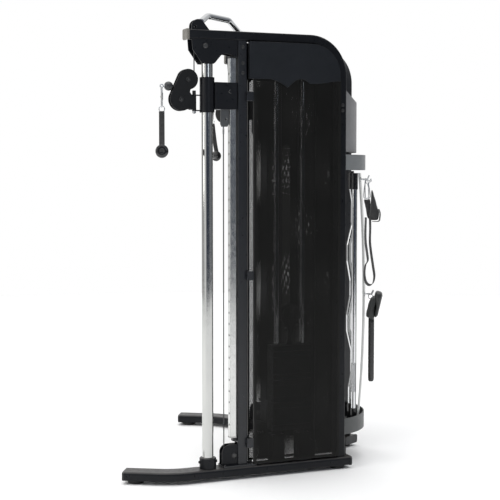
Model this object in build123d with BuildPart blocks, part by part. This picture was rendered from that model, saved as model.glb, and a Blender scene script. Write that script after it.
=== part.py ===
"""Cable crossover machine: two mirrored cable towers joined at the back, with a storage station between them.

Millimetres. +Z is up, +Y runs from the user's side to the back, X runs across. The origin is on the floor,
at the centre of the footprint. Each tower stands on a line that runs back and inward from its corner, and its
pieces are placed by three distances: s along that line, z above the floor and `side` out from its centre plane.
The right tower (+X) is modelled and the left one is its mirror image.
"""

import os
from math import cos, radians, sin

from build123d import *

os.makedirs("parts", exist_ok=True)

# ---- Driving dimensions ----
TOWER_ANGLE = 30  # each tower turns inward by this much towards the back
FOOT_TIP_Y = -564
TOWER_X, TOWER_Y = 642.7, -354  # where the tower's centre line starts
RAIL_WIDTH, RAIL_HEIGHT, RAIL_WALL = 100, 40, 3
PAD_HEIGHT = 15
RAIL_TOP = PAD_HEIGHT + RAIL_HEIGHT
RAIL_END = 870

BEAM_Z, BEAM_FRONT, UPRIGHT_S = 1985, 88, 831
TUBE_WIDTH, TUBE_DEPTH, TUBE_WALL, BEND_RADIUS = 60, 40, 3, 160
BEAM_UNDERSIDE = BEAM_Z - TUBE_DEPTH / 2

POST_FRONT, POST_BACK, POST_WIDTH = 315, 360, 50
BASE_PLATE = 8

CABLE_RADIUS = 2.5
PULLEY_GROOVE, SWIVEL_GROOVE = 43, 31.5  # radius of the cable's centre line round each wheel
PULLEY_WIDTH, RIM_ABOVE_CABLE = 20, 5
AXLE_RADIUS, RUNNING_FIT, GAP = 6, 0.05, 0.3

COLUMN_S, COLUMN_RADIUS, COLUMN_TOP = 178, 25.4, 1876
HINGE_S = 117.5
TOP_FRONT = (HINGE_S + PULLEY_GROOVE, 1936)
TOP_MID = (492, 1936)
TOP_REAR = (664, 1936)
STACK_S = 578
FLOATING = (STACK_S, 735)
BOTTOM_REAR = (664, 106)
BOTTOM_FRONT = (298, 106)
SWIVEL_UPPER = (HINGE_S - SWIVEL_GROOVE, 1789)
SWIVEL_LOWER = (53.6, 1701.6)
ANCHOR_S = BOTTOM_FRONT[0] - PULLEY_GROOVE
PULL_Z = SWIVEL_UPPER[1] - SWIVEL_GROOVE

HOLE_PITCH, HOLE_RADIUS, LOCK_Z = 50.8, 5.2, 1718
POSITION_S, POSITION_SIZE, POSITION_BOTTOM, POSITION_TOP = 296, 30, 191, 1887
SLEEVE_BOTTOM, SLEEVE_TOP, SLEEVE_RADIUS = 1646, 1800, 33
HOUSING_BOTTOM, HOUSING_TOP = 1660, 1779

ROD_S, ROD_RADIUS = (513, 643), 12.5
HEAD_PLATE_Z = 1841
RISER_TOP, BUMPER_TOP = 185, 205
PLATE_COUNT, LIFTED_COUNT, PLATE_PITCH, PLATE_THICKNESS = 15, 5, 26, 25.4
PLATE_LENGTH, PLATE_WIDTH = 190, 80
STEM_RADIUS, PIN_RADIUS = 9.5, 4.6

COVER_FACE = 47  # outer faces of the covers, out from the tower's centre plane
MESH_FACE, MESH_BOTTOM = COVER_FACE - 3, 64

FOOT_X, RAIL_BEND, RAIL_CORNER, RAIL_CAP = 636, 260, 12, 8

KNOB_S, LOCK_TRAVEL, LOCK_PIN, PIN_HOLE, HINGE_PIN = 222, 14, 4.6, 4.65, 5
BARREL = (1657, 1718)  # the swivel's hinge barrel, between the carriage's lugs
STOP_S, STOP_RADIUS, EYE_S, ANCHOR_BOTTOM = -0.5, 20, -32, 1585
WIRE_RADIUS, EYE_HOLE, RING_HOLE = 2.25, 5, 10.5
RING_Z, GRIP_Z = 1657.3, 1474
HANDLE_TURN = -18  # how far the webbing and grip hang turned from the ring
HOOK_TOP = PULL_Z - EYE_HOLE + GAP + WIRE_RADIUS  # centre of the wire where it rests in the eye
HOOK_BOTTOM = RING_Z + RING_HOLE - GAP - WIRE_RADIUS  # and where the handle's ring hangs on it

EAR_INNER = -18  # inner face of the pull-up bar's ears
PULL_UP_POINTS = [(465, -212, 2080), (360, -133, 2072), (250, -111, 2040)]

BAND_HALF, BAND_Y = 215, 387.5  # ends of the bowed sheets, on the uprights' rear faces
HOLDER_Z, HOLDER_HEIGHT, HOLDER_REACH = 1394, 72, 88
TRAY_Z, TRAY_HEIGHT, TRAY_REACH, TRAY_HALF = 150, 75, 88, 180
PANEL_Z, PANEL_TOP, PANEL_REACH = 1478, 1765, 44
CROSS_Y, CROSS_TUBES = 359, ((1680, 60), (118, 46))
BACK_HALF, BACK_Y = 70, 452
STRAIGHT_X, STRAIGHT_Y, CURL_X, CURL_Y = 62, 428, -62, 406
HOOKS = ((56, 455.4, 1350, 36), (30, 476.2, 800, 12))  # place and how far the wire turns aside
HOOK_REACH = 34
REAR_MOST = 564

ALONG = Vector(-sin(radians(TOWER_ANGLE)), cos(radians(TOWER_ANGLE)), 0)
OUT = Vector(cos(radians(TOWER_ANGLE)), sin(radians(TOWER_ANGLE)), 0)
UP = Vector(0, 0, 1)
START = Vector(TOWER_X, TOWER_Y, 0)


# ---- Places on the tower ----
def at(s, z, side=0.0):
    """The point at distance s along the tower, height z and distance side out of its centre plane."""
    return START + ALONG * s + UP * z + OUT * side


def side_plane(side=0.0, s=0.0, z=0.0):
    """Upright along the tower and facing outward: x runs back, y runs up."""
    return Plane(origin=at(s, z, side), x_dir=ALONG, z_dir=OUT)


def level_plane(z, s=0.0, side=0.0):
    """Level and facing up: x runs back along the tower, y runs inward."""
    return Plane(origin=at(s, z, side), x_dir=ALONG, z_dir=UP)


def cross_plane(s, z=0.0, side=0.0):
    """Upright across the tower and facing back: x runs inward, y runs up."""
    return Plane(origin=at(s, z, side), x_dir=-OUT, z_dir=ALONG)


def wheel_plane(place):
    """Through a wheel's centre, with x along its radius and y along its axle."""
    return Plane(origin=at(*place), x_dir=ALONG, z_dir=-UP)


def save(part, name):
    part.label = name
    export_step(part, f"parts/{name}.step")


def save_each(part, name):
    """Writes the right tower's piece and its mirror image as two nodes."""
    save(part, f"right_{name}")
    save(mirror(part, about=Plane.YZ), f"left_{name}")


def save_pair(part, name):
    """Writes the right tower's piece and its mirror image as one node."""
    with BuildPart() as pair:
        add(part)
        mirror(about=Plane.YZ)
    save(pair.part, name)


# ---- Frame ----
def base_rail():
    """Flat rounded tube: a straight foot at the front, then a bend onto the tower's line."""
    bend_s = (TOWER_X - FOOT_X) / sin(radians(TOWER_ANGLE))
    bend, end = at(bend_s, 0), at(RAIL_END, 0)
    with BuildPart() as rail:
        with BuildLine(Plane.XY.offset(PAD_HEIGHT + RAIL_HEIGHT / 2)):
            FilletPolyline(
                (FOOT_X, FOOT_TIP_Y + RAIL_CAP), (bend.X, bend.Y), (end.X, end.Y), radius=RAIL_BEND
            )
        front = Vector(FOOT_X, FOOT_TIP_Y + RAIL_CAP, PAD_HEIGHT + RAIL_HEIGHT / 2)
        with BuildSketch(Plane(origin=front, x_dir=(1, 0, 0), z_dir=(0, 1, 0))):
            RectangleRounded(RAIL_WIDTH, RAIL_HEIGHT, RAIL_CORNER)
            inside = (RAIL_WIDTH - 2 * RAIL_WALL, RAIL_HEIGHT - 2 * RAIL_WALL)
            RectangleRounded(*inside, RAIL_CORNER - RAIL_WALL, mode=Mode.SUBTRACT)
        sweep()
    return rail.part


def frame_tube():
    """Top beam and rear upright in one bent tube, open underneath where the wheels reach into it."""
    with BuildPart() as tube:
        with BuildLine(side_plane()):
            FilletPolyline(
                (BEAM_FRONT, BEAM_Z), (UPRIGHT_S, BEAM_Z), (UPRIGHT_S, RAIL_TOP), radius=BEND_RADIUS
            )
        with BuildSketch(cross_plane(BEAM_FRONT, BEAM_Z)):
            RectangleRounded(TUBE_WIDTH, TUBE_DEPTH, 6)
            inside = (TUBE_WIDTH - 2 * TUBE_WALL, TUBE_DEPTH - 2 * TUBE_WALL)
            RectangleRounded(*inside, 3, mode=Mode.SUBTRACT)
        sweep()
        with BuildSketch(level_plane(BEAM_UNDERSIDE - 14)):
            for s, _ in (TOP_FRONT, TOP_MID, TOP_REAR):
                with Locations((s, 0)):
                    Rectangle(102, PULLEY_WIDTH + 6)
        extrude(amount=TUBE_WALL + 16, mode=Mode.SUBTRACT)
    return tube.part


def front_post():
    """Square post on a slotted base plate, with tabs for the side panels. The bottom wheel enters its front."""
    middle = (POST_FRONT + POST_BACK) / 2
    depth = POST_BACK - POST_FRONT
    foot = RAIL_TOP + BASE_PLATE
    with BuildPart() as post:
        with BuildSketch(level_plane(foot, middle)):
            RectangleRounded(depth, POST_WIDTH, 5)
            RectangleRounded(depth - 2 * TUBE_WALL, POST_WIDTH - 2 * TUBE_WALL, 2, mode=Mode.SUBTRACT)
        extrude(amount=BEAM_UNDERSIDE - foot)
        with BuildSketch(level_plane(RAIL_TOP, 320)):
            RectangleRounded(160, 76, 6)
            with Locations((6, 0)):
                Rectangle(152, PULLEY_WIDTH + 6, mode=Mode.SUBTRACT)
        extrude(amount=BASE_PLATE)
        for height in (140, 900, 1700):
            for side in (1, -1):
                with BuildSketch(level_plane(height, 368.5, side * 32)):
                    Rectangle(32, 19)
                extrude(amount=40)
        with BuildSketch(cross_plane(POST_FRONT - 2, foot)):
            with Locations((0, 49)):
                Rectangle(PULLEY_WIDTH + 6, 102)
        extrude(amount=TUBE_WALL + 4, mode=Mode.SUBTRACT)
        with BuildSketch(cross_plane(POST_BACK - TUBE_WALL - 2, foot)):
            Rectangle(14, 20)
        extrude(amount=TUBE_WALL + 4, mode=Mode.SUBTRACT)
    return post.part


def guide_column():
    """Round tube that the carriage slides on."""
    with BuildPart() as column:
        with BuildSketch(level_plane(RAIL_TOP, COLUMN_S)):
            Circle(COLUMN_RADIUS)
            Circle(COLUMN_RADIUS - 3, mode=Mode.SUBTRACT)
        extrude(amount=COLUMN_TOP - RAIL_TOP)
    return column.part


def column_collar():
    """Socket on the rail round the column's foot, with two set screws."""
    with BuildPart() as collar:
        with BuildSketch(level_plane(RAIL_TOP, COLUMN_S)):
            Circle(37.5)
            Circle(COLUMN_RADIUS + RUNNING_FIT, mode=Mode.SUBTRACT)
        extrude(amount=49)
        chamfer(collar.edges().filter_by(GeomType.CIRCLE).group_by(Axis.Z)[-1].sort_by(SortBy.RADIUS)[-1], 2)
        for turn in (1, -1):
            with BuildSketch(cross_plane(COLUMN_S + turn * 35, RAIL_TOP + 30)):
                RegularPolygon(7, 6)
            extrude(amount=turn * 8)
    return collar.part


def position_column():
    """Square tube with a row of height holes in its front wall."""
    holes = [LOCK_Z + HOLE_PITCH * k for k in range(-29, 3)]
    with BuildPart() as column:
        with BuildSketch(level_plane(POSITION_BOTTOM, POSITION_S)):
            RectangleRounded(POSITION_SIZE, POSITION_SIZE, 3)
            RectangleRounded(POSITION_SIZE - 6, POSITION_SIZE - 6, 1, mode=Mode.SUBTRACT)
        extrude(amount=POSITION_TOP - POSITION_BOTTOM)
        with BuildSketch(cross_plane(POSITION_S - POSITION_SIZE / 2 - 1)):
            with Locations([(0, z) for z in holes]):
                Circle(HOLE_RADIUS)
        extrude(amount=5, mode=Mode.SUBTRACT)
    return column.part


def position_mounts():
    """Blocks that hold the position column to the post and close its ends."""
    front = POSITION_S - POSITION_SIZE / 2
    with BuildPart() as mounts:
        for bottom, height in ((POSITION_TOP, 10), (POSITION_BOTTOM - 6, 6)):
            with BuildSketch(level_plane(bottom, POSITION_S)):
                RectangleRounded(POSITION_SIZE + 2, POSITION_SIZE + 2, 4)
            extrude(amount=height)
        for bottom, height in ((POSITION_TOP + 10, 28), (POSITION_BOTTOM - 22, 16)):
            with BuildSketch(level_plane(bottom, (front + POST_FRONT) / 2 + 7)):
                Rectangle(POST_FRONT - front - 14, 24)
            extrude(amount=height)
    return mounts.part


def axle_hole(place):
    """A cutter for the axle holes in a pair of cheeks."""
    with BuildPart() as hole:
        with BuildSketch(side_plane(TUBE_WIDTH / 2 + 1)):
            with Locations(place):
                Circle(AXLE_RADIUS + RUNNING_FIT)
        extrude(amount=-TUBE_WIDTH - 2)
    return hole.part


def top_bracket():
    """Pair of cheeks under the beam's front, a cap plate on the column, and the pull-up bar's ears above."""
    hole = axle_hole(TOP_FRONT)
    with BuildPart() as bracket:
        for side in (TUBE_WIDTH / 2, -TUBE_WIDTH / 2 + 4):
            with BuildSketch(side_plane(side)):
                with BuildLine():
                    Polyline((249.5, 1904.5), (233, 1896), (206.6, 1864.5), (198, 1858), (144, 1858))
                    Polyline((144, 1858), (100.6, 1919), (97, BEAM_UNDERSIDE), (312, BEAM_UNDERSIDE))
                    Polyline((312, BEAM_UNDERSIDE), (309, 1889))
                    ThreePointArc((309, 1889), (278, 1901), (249.5, 1904.5))
                make_face()
            extrude(amount=-4)
        with BuildSketch(level_plane(COLUMN_TOP, COLUMN_S)):
            Rectangle(48, TUBE_WIDTH - 8)
        extrude(amount=6)
        add(hole, mode=Mode.SUBTRACT)
    return bracket.part


def bar_ears():
    """Domed ears on top of the beam that hold the pull-up bar's end."""
    top = BEAM_Z + TUBE_DEPTH / 2
    with BuildPart() as ears:
        for side in (-EAR_INNER, EAR_INNER + 6):
            with BuildSketch(side_plane(side)):
                with BuildLine():
                    Line((184, top), (101, top))
                    Line((101, top), (101, 2021))
                    ThreePointArc((101, 2021), (110.5, 2042.5), (131, 2051))
                    ThreePointArc((131, 2051), (146, 2047.5), (158, 2037))
                    Line((158, 2037), (184, top))
                make_face()
                with Locations((117.7, 2018)):
                    Circle(7, mode=Mode.SUBTRACT)
            extrude(amount=-6)
        with BuildSketch(level_plane(top, 140)):
            Rectangle(60, 36)
        extrude(amount=3)
    return ears.part


def head_bracket():
    """Cheeks for the two wheels over the stack, with the plate that holds the guide rods' tops."""
    holes = [axle_hole(TOP_MID), axle_hole(TOP_REAR)]
    with BuildPart() as bracket:
        for side in (TUBE_WIDTH / 2, -TUBE_WIDTH / 2 + 4):
            with BuildSketch(side_plane(side)):
                with BuildLine():
                    Polyline((462, HEAD_PLATE_Z), (694, HEAD_PLATE_Z), (694, 1880), (706, 1910))
                    Polyline((706, 1910), (706, 1957), (668, BEAM_UNDERSIDE), (450, BEAM_UNDERSIDE))
                    Line((450, BEAM_UNDERSIDE), (450, 1910))
                    Polyline((450, 1910), (462, 1880), (462, HEAD_PLATE_Z))
                make_face()
            extrude(amount=-4)
        with BuildSketch(level_plane(HEAD_PLATE_Z, STACK_S)):
            Rectangle(232, TUBE_WIDTH)
            with Locations([(s - STACK_S, 0) for s in ROD_S]):
                Circle(ROD_RADIUS + RUNNING_FIT, mode=Mode.SUBTRACT)
            with Locations((-PULLEY_GROOVE, 0), (PULLEY_GROOVE, 0)):
                Circle(8, mode=Mode.SUBTRACT)
        extrude(amount=8)
        add(holes, mode=Mode.SUBTRACT)
    return bracket.part


def bottom_front_bracket():
    """Quarter-round cheeks in front of the post's foot."""
    floor = RAIL_TOP + BASE_PLATE
    hole = axle_hole(BOTTOM_FRONT)
    with BuildPart() as bracket:
        for side in (18, -14):
            with BuildSketch(side_plane(side)):
                with BuildLine():
                    Polyline((276, 155.5), (POST_FRONT, 155.5), (POST_FRONT, floor), (240, floor), (240, 120))
                    ThreePointArc((240, 120), (250.5, 145), (276, 155.5))
                make_face()
            extrude(amount=-4)
        add(hole, mode=Mode.SUBTRACT)
    return bracket.part


def bottom_rear_bracket():
    """Cheeks on the rail for the wheel that turns the cable up behind the stack."""
    hole = axle_hole(BOTTOM_REAR)
    with BuildPart() as bracket:
        for side in (18, -14):
            with BuildSketch(side_plane(side)):
                with Locations((BOTTOM_REAR[0], 102)):
                    RectangleRounded(76, 86, 20)
                with Locations((BOTTOM_REAR[0], RAIL_TOP + 15)):
                    Rectangle(76, 30)
            extrude(amount=-4)
        add(hole, mode=Mode.SUBTRACT)
    return bracket.part


def stack_riser(s):
    """Inverted U that carries a guide rod's foot and straddles the cable."""
    with BuildPart() as riser:
        with BuildSketch(cross_plane(s - 29)):
            with Locations((0, (RAIL_TOP + RISER_TOP) / 2)):
                Rectangle(58, RISER_TOP - RAIL_TOP)
            with Locations((0, (RAIL_TOP + RISER_TOP) / 2 - 8)):
                Rectangle(50, RISER_TOP - RAIL_TOP, mode=Mode.SUBTRACT)
        extrude(amount=58)
        with BuildSketch(level_plane(RISER_TOP - 10, s)):
            Circle(ROD_RADIUS + RUNNING_FIT)
        extrude(amount=12, mode=Mode.SUBTRACT)
    return riser.part


def guide_rod(s):
    with BuildPart() as rod:
        with BuildSketch(level_plane(RISER_TOP - 8, s)):
            Circle(ROD_RADIUS)
        extrude(amount=HEAD_PLATE_Z + 8 - (RISER_TOP - 8))
    return rod.part


def bumper(s):
    """Rubber ring under the stack."""
    with BuildPart() as ring:
        with BuildSketch(level_plane(RISER_TOP, s)):
            Circle(24)
            Circle(ROD_RADIUS + GAP, mode=Mode.SUBTRACT)
        extrude(amount=BUMPER_TOP - RISER_TOP - GAP)
    return ring.part


def foot_pad(x, y):
    with BuildPart() as pad:
        with BuildSketch(Plane(origin=(x, y, 0))):
            Circle(36)
        extrude(amount=PAD_HEIGHT)
        chamfer(pad.edges().group_by(Axis.Z)[0], 3)
    return pad.part


def end_caps():
    """Caps on both ends of the rail and on the beam's front, and the knob that clamps the rear cross tube."""
    middle = PAD_HEIGHT + RAIL_HEIGHT / 2
    with BuildPart() as caps:
        with BuildSketch(Plane(origin=(FOOT_X, FOOT_TIP_Y, middle), x_dir=(1, 0, 0), z_dir=(0, 1, 0))):
            RectangleRounded(RAIL_WIDTH, RAIL_HEIGHT, RAIL_CORNER)
        extrude(amount=RAIL_CAP)
        with BuildSketch(cross_plane(RAIL_END, middle)):
            RectangleRounded(RAIL_WIDTH + 4, RAIL_HEIGHT + 2, RAIL_CORNER)
        extrude(amount=RAIL_CAP)
        with BuildSketch(cross_plane(BEAM_FRONT - 14, BEAM_Z)):
            RectangleRounded(TUBE_WIDTH + 4, 48, 8)
        extrude(amount=14)
        with BuildSketch(level_plane(RAIL_TOP, 861)):
            Circle(9)
        extrude(amount=12)
        with BuildSketch(level_plane(RAIL_TOP + 12, 861)):
            Circle(9.5)
        extrude(amount=28)
        fillet(caps.edges().filter_by(GeomType.CIRCLE).group_by(Axis.Z)[-1], 5)
    return caps.part


def through_bolt(place, half_length, head_radius=9.5):
    """Axle bolt across the tower, with a head and a nut."""
    with BuildPart() as bolt:
        with BuildSketch(side_plane(-half_length)):
            with Locations(place):
                Circle(AXLE_RADIUS)
        extrude(amount=2 * half_length)
        for side in (1, -1):
            with BuildSketch(side_plane(side * half_length)):
                with Locations(place):
                    RegularPolygon(head_radius, 6)
            extrude(amount=side * 6)
    return bolt.part


def frame_bolts():
    """Axle bolts of the fixed wheels and the bolts in the frame's joints."""
    axles = [through_bolt(place, TUBE_WIDTH / 2) for place in (TOP_FRONT, TOP_MID, TOP_REAR)]
    axles += [through_bolt(place, 18) for place in (BOTTOM_FRONT, BOTTOM_REAR)]
    with BuildPart() as bolts:
        add(axles)
        for z in (1938, 1867, 1824):
            with BuildSketch(side_plane(POST_WIDTH / 2)):
                with Locations((340, z)):
                    RegularPolygon(7.5, 6)
            extrude(amount=5)
        for z in (1692, 1667):
            with BuildSketch(side_plane(TUBE_WIDTH / 2)):
                with Locations((UPRIGHT_S, z)):
                    RegularPolygon(7.5, 6)
            extrude(amount=5)
        for s, aside in ((393, 21), (250, 28)):
            for side in (aside, -aside):
                with BuildSketch(level_plane(RAIL_TOP + BASE_PLATE, s, side)):
                    RegularPolygon(7.5, 6)
                extrude(amount=5)
        mirror(about=Plane.YZ)
    return bolts.part


# ---- Panels ----
def panel_tray(outline, side, face, slot=None):
    """A sheet cover with its edges turned in towards the tower. `face` is its outer face's distance."""
    depth = face - TUBE_WIDTH / 2
    with BuildPart() as panel:
        with BuildSketch(side_plane(side * face)):
            add(outline)
        extrude(amount=-side * depth)
        with BuildSketch(side_plane(side * (face - 2))):
            add(outline)
            offset(amount=-2, mode=Mode.REPLACE)
        extrude(amount=-side * depth, mode=Mode.SUBTRACT)
        if slot:
            with BuildSketch(side_plane(side * face)):
                with Locations(slot[0]):
                    SlotOverall(slot[1], slot[2], rotation=90)
            extrude(amount=-side * 3, mode=Mode.SUBTRACT)
    return panel.part


def mesh_outline():
    with BuildSketch() as outline:
        with BuildLine():
            Polyline((385, 1812), (385, MESH_BOTTOM), (815, MESH_BOTTOM), (815, 1812), (385, 1812))
        make_face()
    return outline.sketch


def cover_outline():
    """Solid cover in the frame tube's corner, with a wavy lower edge."""
    corner = BEND_RADIUS - TUBE_DEPTH / 2
    inner = UPRIGHT_S - TUBE_DEPTH / 2
    with BuildSketch() as outline:
        with BuildLine():
            Line((363, 1798), (363, 1962))
            Line((363, 1962), (inner - corner, 1962))
            RadiusArc((inner - corner, 1962), (inner, 1962 - corner), corner)
            Line((inner, 1962 - corner), (inner, 1798))
            Line((inner, 1798), (771, 1795))
            ThreePointArc((771, 1795), (712, 1785), (655, 1783))
            ThreePointArc((655, 1783), (616, 1802), (580, 1790))
            Line((580, 1790), (547, 1763))
            ThreePointArc((547, 1763), (509, 1784), (468, 1798))
            Line((468, 1798), (363, 1798))
        make_face()
    return outline.sketch


def upper_cover(side):
    """Cover whose turned-in edges are cut back where the mesh panel passes behind it."""
    with BuildPart() as cover:
        add(panel_tray(cover_outline(), side, COVER_FACE))
        with BuildSketch(side_plane(side * (MESH_FACE + GAP))):
            with Locations((600, 1780)):
                Rectangle(434, 66)
        extrude(amount=-side * 20, mode=Mode.SUBTRACT)
    return cover.part


# ---- Wheels and cable ----
def pulley(place, groove):
    """Grooved wheel with a plain bore, turning on its axle bolt."""
    rim = groove + RIM_ABOVE_CABLE
    floor = groove - CABLE_RADIUS - GAP
    half = PULLEY_WIDTH / 2
    bore = AXLE_RADIUS + RUNNING_FIT
    with BuildPart() as wheel:
        with BuildSketch(wheel_plane(place)):
            with BuildLine():
                Polyline((bore, -half), (16, -half), (19, -6), (floor - 6, -6), (floor - 2, -half))
                Polyline((floor - 2, -half), (rim - 1, -half), (rim, -half + 1), (rim, -half + 2))
                Polyline((rim, -half + 2), (groove - 1, -3.2))
                ThreePointArc((groove - 1, -3.2), (floor, 0), (groove - 1, 3.2))
                Polyline((groove - 1, 3.2), (rim, half - 2), (rim, half - 1), (rim - 1, half))
                Polyline((rim - 1, half), (floor - 2, half), (floor - 6, 6), (19, 6), (16, half))
                Polyline((16, half), (bore, half), (bore, -half))
            make_face()
        revolve(axis=Axis(at(*place), OUT))
    return wheel.part


def cable():
    """The tower's one cable, from the stop at the handle to the anchor under the carriage."""
    reach = PULLEY_GROOVE
    top = TOP_FRONT[1] + reach
    floor = BOTTOM_REAR[1] - reach
    turn = SWIVEL_GROOVE * 0.70711
    bend = reach * 0.70711
    with BuildPart() as line:
        with BuildLine(side_plane()):
            Line((STOP_S + 14, PULL_Z), (SWIVEL_UPPER[0], PULL_Z))
            ThreePointArc(
                (SWIVEL_UPPER[0], PULL_Z),
                (SWIVEL_UPPER[0] + turn, SWIVEL_UPPER[1] - turn),
                (HINGE_S, SWIVEL_UPPER[1]),
            )
            Line((HINGE_S, SWIVEL_UPPER[1]), (HINGE_S, TOP_FRONT[1]))
            ThreePointArc(
                (HINGE_S, TOP_FRONT[1]), (TOP_FRONT[0] - bend, TOP_FRONT[1] + bend), (TOP_FRONT[0], top)
            )
            Line((TOP_FRONT[0], top), (TOP_MID[0], top))
            ThreePointArc(
                (TOP_MID[0], top), (TOP_MID[0] + bend, TOP_MID[1] + bend), (TOP_MID[0] + reach, TOP_MID[1])
            )
            Line((TOP_MID[0] + reach, TOP_MID[1]), (STACK_S - reach, FLOATING[1]))
            ThreePointArc(
                (STACK_S - reach, FLOATING[1]), (STACK_S, FLOATING[1] - reach), (STACK_S + reach, FLOATING[1])
            )
            Line((STACK_S + reach, FLOATING[1]), (STACK_S + reach, TOP_REAR[1]))
            ThreePointArc(
                (STACK_S + reach, TOP_REAR[1]), (TOP_REAR[0], top), (TOP_REAR[0] + reach, TOP_REAR[1])
            )
            Line((TOP_REAR[0] + reach, TOP_REAR[1]), (TOP_REAR[0] + reach, BOTTOM_REAR[1]))
            ThreePointArc(
                (BOTTOM_REAR[0] + reach, BOTTOM_REAR[1]),
                (BOTTOM_REAR[0] + bend, BOTTOM_REAR[1] - bend),
                (BOTTOM_REAR[0], floor),
            )
            Line((BOTTOM_REAR[0], floor), (BOTTOM_FRONT[0], floor))
            ThreePointArc(
                (BOTTOM_FRONT[0], floor),
                (BOTTOM_FRONT[0] - bend, BOTTOM_FRONT[1] - bend),
                (ANCHOR_S, BOTTOM_FRONT[1]),
            )
            Line((ANCHOR_S, BOTTOM_FRONT[1]), (ANCHOR_S, ANCHOR_BOTTOM + 8))
        with BuildSketch(cross_plane(STOP_S + 14, PULL_Z)):
            Circle(CABLE_RADIUS)
        sweep()
    return line.part


# ---- Carriage, swivel and handle ----
def carriage():
    """Sleeve on the round column, a housing round the position column, hinge lugs and the cable anchor."""
    inner = POSITION_SIZE / 2 + 0.5
    with BuildPart() as body:
        with BuildSketch(level_plane(SLEEVE_BOTTOM, COLUMN_S)):
            Circle(SLEEVE_RADIUS)
        extrude(amount=SLEEVE_TOP - SLEEVE_BOTTOM)
        with BuildSketch(level_plane(HOUSING_BOTTOM, 258.5)):
            RectangleRounded(107, TUBE_WIDTH, 5)
        extrude(amount=HOUSING_TOP - HOUSING_BOTTOM)
        for z in (1651.5, 1718.5):
            with BuildSketch(level_plane(z, HINGE_S)):
                Circle(9)
                with Locations((20, 0)):
                    Rectangle(40, 18)
            extrude(amount=5)
        with BuildSketch(side_plane(5)):
            with BuildLine():
                Polyline((243, HOUSING_BOTTOM + 6), (292, HOUSING_BOTTOM + 6), (292, 1630), (281, 1600))
                Polyline((281, 1600), (272, ANCHOR_BOTTOM), (247, ANCHOR_BOTTOM), (241, 1597))
                Polyline((241, 1597), (243, HOUSING_BOTTOM + 6))
            make_face()
        extrude(amount=-10)
        with BuildSketch(level_plane(HOUSING_BOTTOM - 90, COLUMN_S)):
            Circle(COLUMN_RADIUS + 2)
        extrude(amount=300, mode=Mode.SUBTRACT)
        for z in (SLEEVE_BOTTOM, SLEEVE_TOP - 30):
            with BuildSketch(level_plane(z, COLUMN_S)):
                Circle(COLUMN_RADIUS + 3)
                Circle(COLUMN_RADIUS + RUNNING_FIT, mode=Mode.SUBTRACT)
            extrude(amount=30)
        with BuildSketch(level_plane(HOUSING_BOTTOM - 90, POSITION_S + 20)):
            Rectangle(2 * (inner + 20), 2 * inner)
        extrude(amount=240, mode=Mode.SUBTRACT)
        with BuildSketch(level_plane(HOUSING_BOTTOM + 4, 240.5)):
            Rectangle(53, TUBE_WIDTH - 8)
        extrude(amount=HOUSING_TOP - HOUSING_BOTTOM - 8, mode=Mode.SUBTRACT)
        with BuildSketch(side_plane(-TUBE_WIDTH / 2 + 5)):
            with Locations((KNOB_S + LOCK_TRAVEL / 2, LOCK_Z)):
                SlotOverall(LOCK_TRAVEL + 14, 12)
        extrude(amount=-10, mode=Mode.SUBTRACT)
        with BuildSketch(cross_plane(255, LOCK_Z)):
            Circle(PIN_HOLE)
        extrude(amount=30, mode=Mode.SUBTRACT)
        with BuildSketch(level_plane(ANCHOR_BOTTOM - 1, ANCHOR_S)):
            Circle(CABLE_RADIUS + GAP)
        extrude(amount=12, mode=Mode.SUBTRACT)
        with BuildSketch(side_plane(6)):
            with Locations((267, 1618)):
                Circle(6)
        extrude(amount=-12, mode=Mode.SUBTRACT)
        with BuildSketch(level_plane(1640, HINGE_S)):
            Circle(HINGE_PIN)
        extrude(amount=97)
        for bottom, height in ((1643, 8.5), (1723.5, 17.5)):
            with BuildSketch(level_plane(bottom, HINGE_S)):
                Circle(8)
            extrude(amount=height)
        with BuildSketch(side_plane(TUBE_WIDTH / 2)):
            with Locations((277, 1739)):
                Circle(7)
        extrude(amount=4)
    return body.part


def lock_pin():
    """Pull pin for the height holes, drawn back, with a knob on the tower's inner side."""
    with BuildPart() as pin:
        with BuildSketch(cross_plane(KNOB_S - 8, LOCK_Z)):
            Circle(LOCK_PIN)
        extrude(amount=POSITION_S - LOCK_TRAVEL - KNOB_S)
        with BuildSketch(side_plane(0)):
            with Locations((KNOB_S, LOCK_Z)):
                Circle(5)
        extrude(amount=-TUBE_WIDTH / 2 - 6)
        with BuildSketch(side_plane(-TUBE_WIDTH / 2 - 4)):
            with Locations((KNOB_S, LOCK_Z)):
                Circle(16)
        extrude(amount=-24)
        fillet(pin.edges().filter_by(GeomType.CIRCLE).sort_by(Axis((0, 0, 0), OUT))[0], 5)
    return pin.part


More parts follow.
